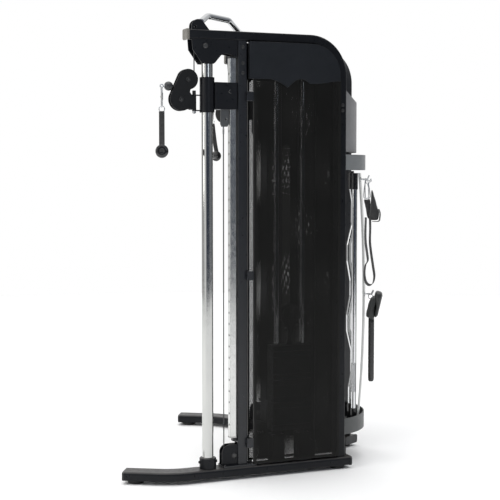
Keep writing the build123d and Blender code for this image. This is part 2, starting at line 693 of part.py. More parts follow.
def swivel_frame():
    """Two eight-shaped cheeks on a barrel that turns on the carriage's hinge pin, with the wheels' axles."""
    upper, lower = Vector(*SWIVEL_UPPER), Vector(*SWIVEL_LOWER)
    with BuildPart() as frame:
        for side in (15, -11):
            with BuildSketch(side_plane(side)):
                with Locations((upper.X, upper.Y)):
                    Circle(45)
                with Locations((lower.X, lower.Y)):
                    Circle(51)
                with BuildLine():
                    Polyline((5.8, 1719.3), (43.8, 1804.7), (98, 1752), (93, 1732), (108, 1716), (108, 1658))
                    Polyline((108, 1658), (82, 1660), (30, 1700), (5.8, 1719.3))
                make_face()
            extrude(amount=-4)
        with BuildSketch(level_plane(BARREL[0], HINGE_S)):
            Circle(9.5)
            with Locations((-12, 0)):
                Rectangle(16, 30)
        extrude(amount=BARREL[1] - BARREL[0])
        with BuildSketch(level_plane(BARREL[0] - 5, HINGE_S)):
            Circle(HINGE_PIN + RUNNING_FIT)
        extrude(amount=BARREL[1] - BARREL[0] + 10, mode=Mode.SUBTRACT)
        for place in (SWIVEL_UPPER, SWIVEL_LOWER):
            with BuildSketch(side_plane(-16)):
                with Locations(place):
                    Circle(AXLE_RADIUS)
            extrude(amount=32)
            for side in (1, -1):
                with BuildSketch(side_plane(side * 15)):
                    with Locations(place):
                        RegularPolygon(8.5, 6)
                extrude(amount=side * 4)
    return frame.part


def cable_stop():
    """Ball that stops the cable against the cheeks, with an eye for the snap hook."""
    centre = at(STOP_S, PULL_Z)
    with BuildPart() as stop:
        with BuildSketch(Plane(origin=centre, x_dir=ALONG, z_dir=-UP)):
            Circle(STOP_RADIUS)
            with Locations((0, -STOP_RADIUS)):
                Rectangle(4 * STOP_RADIUS, 2 * STOP_RADIUS, mode=Mode.SUBTRACT)
        revolve(axis=Axis(centre, ALONG))
        with BuildSketch(cross_plane(STOP_S - STOP_RADIUS - 4, PULL_Z)):
            Circle(5)
        extrude(amount=8)
        with BuildSketch(side_plane(2)):
            with Locations((EYE_S, PULL_Z)):
                Circle(EYE_HOLE + 4)
                Circle(EYE_HOLE, mode=Mode.SUBTRACT)
        extrude(amount=-4)
        with BuildSketch(cross_plane(STOP_S + 12, PULL_Z)):
            Circle(CABLE_RADIUS + GAP)
        extrude(amount=10, mode=Mode.SUBTRACT)
    return stop.part


def snap_hook():
    """Round wire loop through the stop's eye and the handle's ring."""
    turn = 8
    low, high = HOOK_BOTTOM + turn, HOOK_TOP - turn
    with BuildPart() as hook:
        with BuildLine(cross_plane(EYE_S)):
            Line((-turn, high), (-turn, low))
            ThreePointArc((-turn, low), (0, HOOK_BOTTOM), (turn, low))
            Line((turn, low), (turn, high))
            ThreePointArc((turn, high), (0, HOOK_TOP), (-turn, high))
        with BuildSketch(level_plane(high, EYE_S, turn)):
            Circle(WIRE_RADIUS)
        sweep()
    return hook.part


def handle():
    """Ring with a webbing triangle and a grip, which hang turned from the ring."""
    with BuildPart() as hanging:
        with BuildSketch(cross_plane(EYE_S - 12.5)):
            with BuildLine():
                Polyline((-10, RING_Z - 12), (10, RING_Z - 12), (67, GRIP_Z + 20), (67, GRIP_Z - 6))
                Polyline((67, GRIP_Z - 6), (60.5, GRIP_Z - 6), (60.5, GRIP_Z + 18), (6, RING_Z - 34))
                Polyline((6, RING_Z - 34), (-6, RING_Z - 34), (-60.5, GRIP_Z + 18), (-60.5, GRIP_Z - 6))
                Polyline((-60.5, GRIP_Z - 6), (-67, GRIP_Z - 6), (-67, GRIP_Z + 20), (-10, RING_Z - 12))
            make_face()
        extrude(amount=25)
        with BuildSketch(side_plane(-61, EYE_S, GRIP_Z)):
            Circle(16)
        extrude(amount=122)
        for side in (61, -55):
            with BuildSketch(side_plane(side, EYE_S, GRIP_Z)):
                Circle(28.5)
            extrude(amount=-6)
    turned = hanging.part.rotate(Axis(at(EYE_S, 0), UP), HANDLE_TURN)
    with BuildPart() as grip:
        with BuildSketch(side_plane(2, EYE_S, RING_Z)):
            Circle(RING_HOLE + 4.5)
            Circle(RING_HOLE, mode=Mode.SUBTRACT)
        extrude(amount=-4)
        add(turned)
    return grip.part


# ---- Weight stack ----
def weight_plate(index):
    """Steel plate with bores for the guide rods and the stem, and a cross hole for the selector pin."""
    bottom = BUMPER_TOP + index * PLATE_PITCH
    with BuildPart() as plate:
        with BuildSketch(level_plane(bottom, STACK_S)):
            RectangleRounded(PLATE_LENGTH, PLATE_WIDTH, 6)
            with Locations([(s - STACK_S, 0) for s in ROD_S]):
                Circle(ROD_RADIUS + 0.5, mode=Mode.SUBTRACT)
            Circle(STEM_RADIUS + 0.5, mode=Mode.SUBTRACT)
        extrude(amount=PLATE_THICKNESS)
        with BuildSketch(side_plane(-PLATE_WIDTH / 2 - 1)):
            with Locations((STACK_S, bottom + PLATE_THICKNESS / 2)):
                Circle(PIN_RADIUS + 0.4)
        extrude(amount=PLATE_WIDTH / 2 + 12, mode=Mode.SUBTRACT)
    return plate.part


def plates(indices):
    group = [weight_plate(index) for index in indices]
    with BuildPart() as stack:
        add(group)
    return stack.part


def lift_stem():
    """Drilled stem down through the plates, with the floating wheel's yoke and axle on top."""
    bottom, top = BUMPER_TOP + 4, FLOATING[1] - 62
    axle = through_bolt(FLOATING, 18, 9)
    with BuildPart() as stem:
        with BuildSketch(level_plane(bottom, STACK_S)):
            Circle(STEM_RADIUS)
        extrude(amount=top - bottom)
        with BuildSketch(side_plane(20)):
            holes = [BUMPER_TOP + k * PLATE_PITCH + PLATE_THICKNESS / 2 for k in range(PLATE_COUNT)]
            with Locations([(STACK_S, z) for z in holes]):
                Circle(PIN_RADIUS + 0.4)
        extrude(amount=-40, mode=Mode.SUBTRACT)
        stack_top = BUMPER_TOP + (PLATE_COUNT - 1) * PLATE_PITCH + PLATE_THICKNESS
        with BuildSketch(level_plane(stack_top, STACK_S)):
            Circle(16)
        extrude(amount=18)
        with BuildSketch(cross_plane(STACK_S - 18)):
            with BuildLine():
                Polyline((-18, FLOATING[1] + 14), (-18, top - 8), (18, top - 8), (18, FLOATING[1] + 14))
                Polyline((18, FLOATING[1] + 14), (14, FLOATING[1] + 14), (14, top), (-14, top))
                Polyline((-14, top), (-14, FLOATING[1] + 14), (-18, FLOATING[1] + 14))
            make_face()
        extrude(amount=36)
        add(axle)
    return stem.part


def selector_pin():
    """Pin with a knob, pushed in from the tower's inner side under the plates to lift."""
    index = PLATE_COUNT - LIFTED_COUNT
    z = BUMPER_TOP + index * PLATE_PITCH + PLATE_THICKNESS / 2
    with BuildPart() as pin:
        with BuildSketch(side_plane(8, STACK_S, z)):
            Circle(PIN_RADIUS)
        extrude(amount=-75)
        with BuildSketch(side_plane(-62, STACK_S, z)):
            Circle(13)
        extrude(amount=-30)
        fillet(pin.edges().filter_by(GeomType.CIRCLE).sort_by(Axis((0, 0, 0), OUT))[0], 6)
    return pin.part


# ---- Bars and storage station ----
def pull_up_bar():
    """Bent round bar over the towers, from the inner face of one pair of ears to the other."""
    start = at(134, 2030)
    middle = (0, *PULL_UP_POINTS[-1][1:])
    with BuildPart() as bar:
        with BuildLine():
            FilletPolyline(start, *PULL_UP_POINTS, middle, radius=45)
        with BuildSketch(Plane(origin=start, z_dir=Vector(*PULL_UP_POINTS[0]) - start)):
            Circle(14)
        sweep()
        split(bisect_by=side_plane(EAR_INNER), keep=Keep.BOTTOM)
        mirror(about=Plane.YZ)
    return bar.part


def band_outline(reach, thickness):
    """Plan of a sheet bowed to the back between the two uprights."""
    with BuildSketch() as outline:
        with BuildLine():
            ThreePointArc((-BAND_HALF, BAND_Y), (0, BAND_Y + reach), (BAND_HALF, BAND_Y))
            Line((BAND_HALF, BAND_Y), (BAND_HALF, BAND_Y - thickness))
            ThreePointArc(
                (BAND_HALF, BAND_Y - thickness), (0, BAND_Y + reach - thickness), (-BAND_HALF, BAND_Y - thickness)
            )
            Line((-BAND_HALF, BAND_Y - thickness), (-BAND_HALF, BAND_Y))
        make_face()
    return outline.sketch


def cross_tubes():
    """Straight tubes across the back, mitred against the inner faces of the uprights."""
    with BuildPart() as tubes:
        for z, height in CROSS_TUBES:
            with BuildSketch(Plane(origin=(0, CROSS_Y, z), x_dir=(0, 1, 0), z_dir=(1, 0, 0))):
                RectangleRounded(40, height, 5)
                RectangleRounded(34, height - 6, 2, mode=Mode.SUBTRACT)
            extrude(amount=BAND_HALF)
        split(bisect_by=side_plane(-TUBE_WIDTH / 2), keep=Keep.BOTTOM)
        mirror(about=Plane.YZ)
    return tubes.part


def upper_holder():
    """Bowed band with a shelf over the tops of the stored bars."""
    with BuildPart() as holder:
        with BuildSketch(Plane.XY.offset(HOLDER_Z)):
            add(band_outline(HOLDER_REACH, 5))
        extrude(amount=HOLDER_HEIGHT)
        with BuildSketch(Plane.XY.offset(HOLDER_Z + HOLDER_HEIGHT - 5)):
            with BuildLine():
                ThreePointArc((-BAND_HALF, BAND_Y - 3), (0, BAND_Y + HOLDER_REACH - 3), (BAND_HALF, BAND_Y - 3))
                Line((BAND_HALF, BAND_Y - 3), (-BAND_HALF, BAND_Y - 3))
            make_face()
        extrude(amount=5)
    return holder.part


def lower_tray():
    """Bowed tray whose floor carries the stored bars."""
    with BuildPart() as tray:
        with BuildSketch(Plane.XY.offset(TRAY_Z)):
            add(band_outline(TRAY_REACH, 5))
        extrude(amount=TRAY_HEIGHT)
        with BuildSketch(Plane.XY.offset(TRAY_Z)):
            with BuildLine():
                ThreePointArc((-BAND_HALF, BAND_Y - 3), (0, BAND_Y + TRAY_REACH - 3), (BAND_HALF, BAND_Y - 3))
                Line((BAND_HALF, BAND_Y - 3), (-BAND_HALF, BAND_Y - 3))
            make_face()
            with Locations((0, BAND_Y - 10)):
                Rectangle(2 * TRAY_HALF, 28)
        extrude(amount=5)
        with BuildSketch(Plane.XY.offset(TRAY_Z)):
            with Locations((0, BAND_Y - 24)):
                Rectangle(2 * TRAY_HALF, 5)
        extrude(amount=TRAY_HEIGHT - 20)
    return tray.part


def top_panel():
    """Bowed panel between the uprights above the holder, leaning forward along its top edge."""
    with BuildPart() as panel:
        with BuildSketch(Plane.XY.offset(PANEL_Z)):
            add(band_outline(PANEL_REACH, 3))
        extrude(amount=PANEL_TOP - PANEL_Z)
        with BuildSketch(Plane(origin=(-BAND_HALF - 1, 0, 0), x_dir=(0, 1, 0), z_dir=(1, 0, 0))):
            with BuildLine():
                Polyline(
                    (BAND_Y + 2, PANEL_TOP + 1), (BAND_Y + 60, PANEL_TOP + 1), (BAND_Y + 60, PANEL_TOP - 66),
                    (BAND_Y + 2, PANEL_TOP + 1),
                )
            make_face()
        extrude(amount=2 * BAND_HALF + 2, mode=Mode.SUBTRACT)
    return panel.part


def back_panel():
    """Tall narrow sheet bowed a little to the back, from the holder down into the tray."""
    top, bottom = HOLDER_Z - 14, TRAY_Z + 60
    middle = (top + bottom) / 2
    with BuildPart() as panel:
        with BuildSketch(Plane(origin=(-BACK_HALF, 0, 0), x_dir=(0, 1, 0), z_dir=(1, 0, 0))):
            with BuildLine():
                ThreePointArc((BACK_Y, top), (BACK_Y + 24, middle), (BACK_Y, bottom))
                Line((BACK_Y, bottom), (BACK_Y - 8, bottom))
                ThreePointArc((BACK_Y - 8, bottom), (BACK_Y + 16, middle), (BACK_Y - 8, top))
                Line((BACK_Y - 8, top), (BACK_Y, top))
            make_face()
        extrude(amount=2 * BACK_HALF)
    return panel.part


def straight_bar():
    """Short bar with black end collars, stored upright."""
    with BuildPart() as bar:
        for radius, bottom, top in ((12.5, 250, 1302), (15, TRAY_Z + 5.3, 250), (15, 1302, 1380)):
            with BuildSketch(Plane(origin=(STRAIGHT_X, STRAIGHT_Y, bottom))):
                Circle(radius)
            extrude(amount=top - bottom)
    return bar.part


def curl_bar():
    """Wavy bar stored upright, with collars and a loop at its middle."""
    waves = [(0, 330), (13, 410), (13, 500), (-11, 610), (-11, 690), (4, 780)]
    mirrored = [(x, 1640 - z) for x, z in reversed(waves)]
    route = [(0, 250)] + waves + mirrored + [(0, 1390)]
    with BuildPart() as bar:
        with BuildLine(Plane(origin=(CURL_X, CURL_Y, 0), x_dir=(0, 1, 0), z_dir=(1, 0, 0))):
            FilletPolyline(*route, radius=60)
        with BuildSketch(Plane(origin=(CURL_X, CURL_Y, 250))):
            Circle(12.5)
        sweep()
        for bottom, top in ((TRAY_Z + 5.3, 250), (1302, 1380)):
            with BuildSketch(Plane(origin=(CURL_X, CURL_Y, bottom))):
                Circle(17)
            extrude(amount=top - bottom)
    return bar.part


def storage_hooks():
    """Wire hooks with round feet on the back panel."""
    with BuildPart() as hooks:
        for x, y, z, aside in HOOKS:
            with BuildLine():
                FilletPolyline(
                    (x, y, z), (x, y + 16, z), (x + aside, y + HOOK_REACH, z), (x + aside, y + 43, z + 20), radius=5
                )
            with BuildSketch(Plane(origin=(x, y, z), z_dir=(0, 1, 0))):
                Circle(4)
            sweep()
            with BuildSketch(Plane(origin=(x, y, z), z_dir=(0, 1, 0))):
                Circle(12)
            extrude(amount=4)
    return hooks.part


def ankle_strap():
    """Folded padded cuff with its long closing strap hanging in a loop."""
    x, y, z, aside = HOOKS[0]
    with BuildPart() as strap:
        with BuildSketch(Plane(origin=(x + aside - 16, 0, 0), x_dir=(0, 1, 0), z_dir=(1, 0, 0))):
            with BuildLine():
                Polyline((y + 14, z - 90), (y + 46, z - 88), (y + 51, z - 44), (y + 60, z - 46))
                Polyline((y + 60, z - 46), (y + 78, z - 100), (y + 92, z - 158), (y + 86, z - 196))
                Polyline((y + 86, z - 196), (y + 40, z - 196), (y + 32, z - 180), (y + 14, z - 90))
            make_face()
        extrude(amount=40)
        with BuildSketch(Plane(origin=(x + aside - 10, 0, 0), x_dir=(0, 1, 0), z_dir=(1, 0, 0))):
            with BuildLine():
                Polyline((y + 26, z - 190), (y + 24, z - 290), (y + 31, z - 345), (y + 38, z - 385))
                Polyline((y + 38, z - 385), (y + 22, z - 410), (y + 19, z - 450), (y + 27, z - 492))
                Polyline((y + 27, z - 492), (y + 45, z - 510), (y + 65, z - 498), (y + 74, z - 460))
                Polyline((y + 74, z - 460), (y + 67, z - 415), (y + 60, z - 370), (y + 54, z - 330))
                Polyline((y + 54, z - 330), (y + 50, z - 290), (y + 50, z - 190), (y + 26, z - 190))
            make_face()
            offset(amount=-5, mode=Mode.SUBTRACT)
        extrude(amount=30)
    return strap.part


def padded_strap():
    """Folded padded sling on the lower hook, with its stick handle hanging below."""
    x, y, z, aside = HOOKS[1]
    with BuildPart() as strap:
        with BuildSketch(Plane(origin=(x + aside - 50, 0, 0), x_dir=(0, 1, 0), z_dir=(1, 0, 0))):
            with BuildLine():
                Polyline((y + 47, z + 15), (REAR_MOST, z + 12), (REAR_MOST - 8, z - 40))
                Polyline((REAR_MOST - 8, z - 40), (REAR_MOST - 22, z - 98), (REAR_MOST - 38, z - 124))
                Polyline((REAR_MOST - 38, z - 124), (y + 4, z - 108), (y + 47, z + 15))
            make_face()
        extrude(amount=100)
        with BuildSketch(Plane(origin=(x + aside, y + 33, z - 108))):
            Circle(16)
        extrude(amount=-315)
        fillet(strap.edges().group_by(Axis.Z)[0], 8)
    return strap.part


# ---- Pieces on both towers, one node for each tower ----
save_each(cable(), "cable")
save_each(carriage(), "carriage")
save_each(lock_pin(), "lock_pin")
save_each(swivel_frame(), "swivel_frame")
save_each(cable_stop(), "cable_stop")
save_each(snap_hook(), "snap_hook")
save_each(handle(), "handle")
save_each(plates(range(PLATE_COUNT - LIFTED_COUNT, PLATE_COUNT)), "lifted_plates")
save_each(lift_stem(), "lift_stem")
save_each(selector_pin(), "selector_pin")
for wheel_name, place, groove in (
    ("swivel_pulley_upper", SWIVEL_UPPER, SWIVEL_GROOVE),
    ("swivel_pulley_lower", SWIVEL_LOWER, SWIVEL_GROOVE),
    ("stack_pulley", FLOATING, PULLEY_GROOVE),
    ("top_front_pulley", TOP_FRONT, PULLEY_GROOVE),
    ("top_mid_pulley", TOP_MID, PULLEY_GROOVE),
    ("top_rear_pulley", TOP_REAR, PULLEY_GROOVE),
    ("bottom_rear_pulley", BOTTOM_REAR, PULLEY_GROOVE),
    ("bottom_front_pulley", BOTTOM_FRONT, PULLEY_GROOVE),
):
    save_each(pulley(place, groove), wheel_name)

# ---- Fixed pieces, both towers' in one node ----
save_pair(base_rail(), "base_rails")
save_pair(frame_tube(), "frame_tubes")
save_pair(front_post(), "front_posts")
save_pair(guide_column(), "guide_columns")
save_pair(column_collar(), "column_collars")
save_pair(position_column(), "position_columns")
save_pair(plates(range(PLATE_COUNT - LIFTED_COUNT)), "resting_plates")
save_pair([end_caps(), position_mounts()], "end_caps")
save(frame_bolts(), "frame_bolts")

rear_pad = at(RAIL_END - 46, 0)
pin_slot = ((STACK_S, 850), 1320, 40)
for group_name, group in (
    (
        "pulley_brackets",
        [top_bracket(), bar_ears(), head_bracket(), bottom_front_bracket(), bottom_rear_bracket()],
    ),
    ("guide_rods", [guide_rod(s) for s in ROD_S]),
    ("stack_risers", [stack_riser(s) for s in ROD_S]),
    (
        "rubber_pads",
        [bumper(s) for s in ROD_S] + [foot_pad(FOOT_X, FOOT_TIP_Y + 52), foot_pad(rear_pad.X, rear_pad.Y)],
    ),
    (
        "mesh_panels",
        [
            panel_tray(mesh_outline(), 1, MESH_FACE),
            panel_tray(mesh_outline(), -1, MESH_FACE, pin_slot),
        ],
    ),
    ("upper_covers", [upper_cover(side) for side in (1, -1)]),
):
    save_pair(group, group_name)

# ---- Pieces between the towers ----
save(pull_up_bar(), "pull_up_bar")
save(cross_tubes(), "rear_cross_tubes")
save(top_panel(), "top_panel")
save(Compound(children=[upper_holder(), lower_tray()]), "accessory_trays")
save(back_panel(), "back_panel")
save(Compound(children=[straight_bar(), curl_bar()]), "stored_bars")
save(storage_hooks(), "storage_hooks")
save(ankle_strap(), "ankle_strap")
save(padded_strap(), "padded_strap")
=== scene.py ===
"""Looks for the cable crossover machine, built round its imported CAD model, in metres and in the model's frame.

Each tower stands on a line that runs back and inward from its corner. Its pieces are placed by three distances:
s along that line, z above the floor and `side` out of the tower's centre plane. `hand` is 1 for the right tower
(+X) and -1 for the left one.
"""
from math import cos, pi, radians, sin, sqrt

import bmesh
import bpy
from mathutils import Matrix, Vector, noise


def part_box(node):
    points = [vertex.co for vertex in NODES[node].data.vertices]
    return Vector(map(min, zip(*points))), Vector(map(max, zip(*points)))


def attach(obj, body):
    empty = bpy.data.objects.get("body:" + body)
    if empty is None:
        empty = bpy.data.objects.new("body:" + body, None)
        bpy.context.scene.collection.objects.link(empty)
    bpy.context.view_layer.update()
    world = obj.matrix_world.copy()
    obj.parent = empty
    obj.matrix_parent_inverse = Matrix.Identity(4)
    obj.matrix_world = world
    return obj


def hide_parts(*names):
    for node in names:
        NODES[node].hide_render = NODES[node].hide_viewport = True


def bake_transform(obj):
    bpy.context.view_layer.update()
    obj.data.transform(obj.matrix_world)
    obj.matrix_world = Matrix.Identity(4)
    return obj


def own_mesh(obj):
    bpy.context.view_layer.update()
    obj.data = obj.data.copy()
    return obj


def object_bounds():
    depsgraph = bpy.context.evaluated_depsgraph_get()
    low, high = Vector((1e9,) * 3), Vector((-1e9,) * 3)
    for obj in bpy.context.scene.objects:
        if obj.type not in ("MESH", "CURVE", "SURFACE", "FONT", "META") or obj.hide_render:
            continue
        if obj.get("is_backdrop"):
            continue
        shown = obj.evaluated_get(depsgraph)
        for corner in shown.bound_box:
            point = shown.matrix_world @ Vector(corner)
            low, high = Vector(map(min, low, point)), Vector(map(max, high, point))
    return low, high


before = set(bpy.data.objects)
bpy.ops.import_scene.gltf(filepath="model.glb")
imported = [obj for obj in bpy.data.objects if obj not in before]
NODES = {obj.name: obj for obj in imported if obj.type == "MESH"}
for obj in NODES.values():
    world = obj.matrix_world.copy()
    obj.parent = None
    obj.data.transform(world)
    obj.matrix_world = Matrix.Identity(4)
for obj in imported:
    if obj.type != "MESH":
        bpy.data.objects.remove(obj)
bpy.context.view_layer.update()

UP = Vector((0, 0, 1))
ALONG = Vector((-0.5, sqrt(3) / 2, 0))
OUT = Vector((sqrt(3) / 2, 0.5, 0))
TOWER = Vector((0.6427, -0.354, 0))  # where the right tower's line starts
HANDS = (("right", 1), ("left", -1))


# ---- Places ----
def at(s, z, side=0.0, hand=1):
    """The point at s, z and side on the tower, in metres."""
    p = TOWER + ALONG * s + OUT * side + UP * z
    return Vector((p.x * hand, p.y, p.z))


def turned(v, hand):
    return Vector((v.x * hand, v.y, v.z))


def middle(node):
    low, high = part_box(node)
    return (low + high) / 2


def wheel(name):
    """(s, z) of a right-hand wheel's centre."""
    centre = middle(f"right_{name}")
    return (centre - TOWER).dot(ALONG), centre.z


SWIVEL_UPPER, SWIVEL_LOWER = wheel("swivel_pulley_upper"), wheel("swivel_pulley_lower")
TOP_FRONT, TOP_MID, TOP_REAR = wheel("top_front_pulley"), wheel("top_mid_pulley"), wheel("top_rear_pulley")
BOTTOM_REAR, BOTTOM_FRONT, FLOATING = wheel("bottom_rear_pulley"), wheel("bottom_front_pulley"), wheel("stack_pulley")
SMALL_REACH, REACH, CABLE_R = 0.0315, 0.043, 0.0025  # cable centre line's radius on the wheels, and its own
HINGE_S = SWIVEL_UPPER[0] + SMALL_REACH
PULL_Z = SWIVEL_UPPER[1] - SMALL_REACH
EYE_S = -0.032  # the middle of the hook that a handle hangs from
HANDLE_TURN = radians(-18)  # how far the grip is turned about the vertical from the tower's axle direction
RING_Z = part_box("right_handle")[1].z - 0.015
GRIP_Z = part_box("right_handle")[0].z + 0.0285
HOOK_UP, HOOK_LOW = Vector((0.092, 0.4554, 1.350)), Vector((0.042, 0.4762, 0.800))


# ---- Mesh building ----
def turns(count):
    """Angles evenly round a circle."""
    return [2 * pi * i / count for i in range(count)]


class Shape:
    """Collects closed solids into one mesh."""

    def __init__(self):
        self.points, self.faces = [], []

    def add(self, points, faces):
        start = len(self.points)
        self.points += [tuple(p) for p in points]
        self.faces += [[start + i for i in face] for face in faces]
        return self

    def rings(self, rings, closed=False):
        """Skin over equal rings of points. Open ends get a cap."""
        count = len(rings[0])
        points = [p for ring in rings for p in ring]
        faces = []
        for k in range(len(rings) if closed else len(rings) - 1):
            a, b = k * count, (k + 1) % len(rings) * count
            faces += [[a + i, a + (i + 1) % count, b + (i + 1) % count, b + i] for i in range(count)]
        if not closed:
            faces += [list(range(count))[::-1], [len(points) - count + i for i in range(count)]]
        return self.add(points, faces)

    def tube(self, path, radius, sides=14, closed=False, flat=None, facing=None):
        """Round rod along path, or with `flat` a strap of that thickness whose width is 2 * radius."""
        rings, normal = [], facing
        total = len(path)
        for k, p in enumerate(path):
            before = path[k - 1 if closed else max(k - 1, 0)]
            after = path[(k + 1) % total if closed else min(k + 1, total - 1)]
            way = (after - before).normalized()
            if normal is None:
                normal = way.orthogonal().normalized()
            across = (normal - way * normal.dot(way)).normalized()
            if facing is None:
                normal = across
            other = way.cross(across)
            if flat:
                w, t, e = radius, flat / 2, flat / 4
                corners = [(w, -t + e), (w, t - e), (w - e, t), (e - w, t)]
                corners += [(-w, t - e), (-w, e - t), (e - w, -t), (w - e, -t)]
                rings.append([p + across * u + other * v for u, v in corners])
            else:
                r = radius(k / max(total - 1, 1)) if callable(radius) else radius
                rings.append([p + (across * cos(a) + other * sin(a)) * r for a in turns(sides)])
        return self.rings(rings, closed)

    def lathe(self, profile, origin, axis, segments=40):
        """Turns (radius, height) points round an axis. The profile ends get flat caps."""
        axis = axis.normalized()
        u = axis.orthogonal().normalized()
        v = axis.cross(u)
        rings = []
        for r, h in profile:
            rings.append([origin + axis * h + (u * cos(a) + v * sin(a)) * max(r, 1e-5) for a in turns(segments)])
        return self.rings(rings)

    def torus(self, centre, axis, major, minor, segments=40, sides=12):
        u = axis.orthogonal().normalized()
        v = axis.normalized().cross(u)
        path = [centre + (u * cos(a) + v * sin(a)) * major for a in turns(segments)]
        return self.tube(path, minor, sides, closed=True)

    def plate(self, outline, depth, edge=0.0008):
        """Slab from an outline of points, thick along the vector `depth`, with chamfered edges."""
        centre = sum(outline, Vector()) / len(outline)
        inward = [p + (centre - p).normalized() * edge for p in outline]
        lift = depth.normalized() * edge
        return self.rings(
            [inward, [p + lift for p in outline], [p + depth - lift for p in outline], [p + depth for p in inward]]
        )

    def bolt(self, place, axis, radius=0.0075, height=0.005, washer=True):
        """Hexagon head with a domed chamfer on a washer. The axis points out of the surface."""
        axis = axis.normalized()
        u = axis.orthogonal().normalized()
        v = axis.cross(u)
        base = 0.0
        if washer:
            rim = radius * 1.25
            self.lathe([(rim, 0), (rim, 0.001), (radius * 1.2, 0.0013), (0.001, 0.0013)], place, axis, 28)
            base = 0.0013

        def hexagon(r, h):
            return [place + axis * h + (u * cos(a) + v * sin(a)) * r for a in [pi * i / 3 for i in range(6)]]

        layers = [(radius, base), (radius, height * 0.8), (radius * 0.86, height), (radius * 0.3, height)]
        self.rings([hexagon(*layer) for layer in layers])
        return self

    def object(self, name, material, smooth=40):
        mesh = bpy.data.meshes.new(name)
        mesh.from_pydata(self.points, [], self.faces)
        made = bmesh.new()
        made.from_mesh(mesh)
        bmesh.ops.recalc_face_normals(made, faces=made.faces)
        for face in made.faces:
            face.smooth = True
        for edge in made.edges:
            edge.smooth = len(edge.link_faces) == 2 and edge.calc_face_angle(0) < radians(smooth)
        made.to_mesh(mesh)
        made.free()
        piece = bpy.data.objects.new(name, mesh)
        bpy.context.scene.collection.objects.link(piece)
        mesh.materials.append(material)
        return piece


def finished(piece, body, slot, *nodes):
    """Rides the piece on its body and hides the CAD nodes that it stands for."""
    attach(piece, body)
    if nodes:
        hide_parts(*nodes)
    return piece


def line(a, b, steps=1):
    return [a.lerp(b, k / steps) for k in range(steps + 1)]


def arc(centre, radius, start, end, hand, steps=18):
    """Points round a wheel at (s, z). Angles in degrees: 0 points back along the tower and 90 up."""
    angles = [radians(start + (end - start) * k / steps) for k in range(steps + 1)]
    return [at(centre[0] + radius * cos(a), centre[1] + radius * sin(a), 0, hand) for a in angles]


def smoothed(points, steps=6, closed=False):
    """Catmull-Rom curve through the points."""
    count = len(points)
    made = []
    for k in range(count if closed else count - 1):
        p0 = points[(k - 1) % count] if closed or k else points[0]
        p1, p2 = points[k], points[(k + 1) % count]
        p3 = points[(k + 2) % count] if closed or k + 2 < count else points[-1]
        for i in range(steps):
            t = i / steps
            curve = 2 * p1 + (p2 - p0) * t + (2 * p0 - 5 * p1 + 4 * p2 - p3) * t**2
            made.append(0.5 * (curve + (3 * p1 - p0 - 3 * p2 + p3) * t**3))
    if not closed:
        made.append(points[-1])
    return made


# ---- Material nodes ----
def add(tree, kind, values=(), **settings):
    made = tree.nodes.new("ShaderNode" + kind)
    for key, value in settings.items():
        setattr(made, key, value)
    for key, value in dict(values).items():
        if isinstance(value, bpy.types.NodeSocket):
            tree.links.new(value, made.inputs[key])
        else:
            made.inputs[key].default_value = value
    return made


def calc(tree, operation, *values):
    return add(tree, "Math", enumerate(values), operation=operation).outputs[0]


def mix(tree, factor, a, b):
    return add(tree, "Mix", {0: factor, 6: a, 7: b}, data_type="RGBA").outputs[2]


def spread(tree, value, low, high, to_low, to_high):
    values = {"Value": value, "From Min": low, "From Max": high, "To Min": to_low, "To Max": to_high}
    return add(tree, "MapRange", values).outputs[0]


def rgb(colour):
    return (*colour, 1.0)


def places(tree):
    """Sockets for x, y, z and the tower's s and side, the same on both towers."""
    point = add(tree, "TexCoord").outputs["Object"]
    apart = add(tree, "SeparateXYZ", {0: point})
    x, y, z = apart.outputs
    across = calc(tree, "SUBTRACT", calc(tree, "ABSOLUTE", x), TOWER.x)
    back = calc(tree, "SUBTRACT", y, TOWER.y)
    s = calc(tree, "ADD", calc(tree, "MULTIPLY", across, ALONG.x), calc(tree, "MULTIPLY", back, ALONG.y))
    side = calc(tree, "ADD", calc(tree, "MULTIPLY", across, OUT.x), calc(tree, "MULTIPLY", back, OUT.y))
    return {"point": point, "x": x, "y": y, "z": z, "s": s, "side": side}


def band(axis, low, high):
    """Zone where a coordinate is between two values."""
    return lambda tree, where: calc(tree, "COMPARE", where[axis], (low + high) / 2, abs(high - low) / 2)


def both(*zones):
    def made(tree, where):
        factor = zones[0](tree, where)
        for zone in zones[1:]:
            factor = calc(tree, "MULTIPLY", factor, zone(tree, where))
        return factor
    return made


def disc(centre, low, high):
    """Zone between two radii round a wheel's axle."""
    def made(tree, where):
        flat = add(tree, "CombineXYZ", {0: where["s"], 1: where["z"]}).outputs[0]
        far = add(tree, "VectorMath", {0: flat, 1: (*centre, 0)}, operation="DISTANCE").outputs["Value"]
        return calc(tree, "COMPARE", far, (low + high) / 2, (high - low) / 2)
    return made


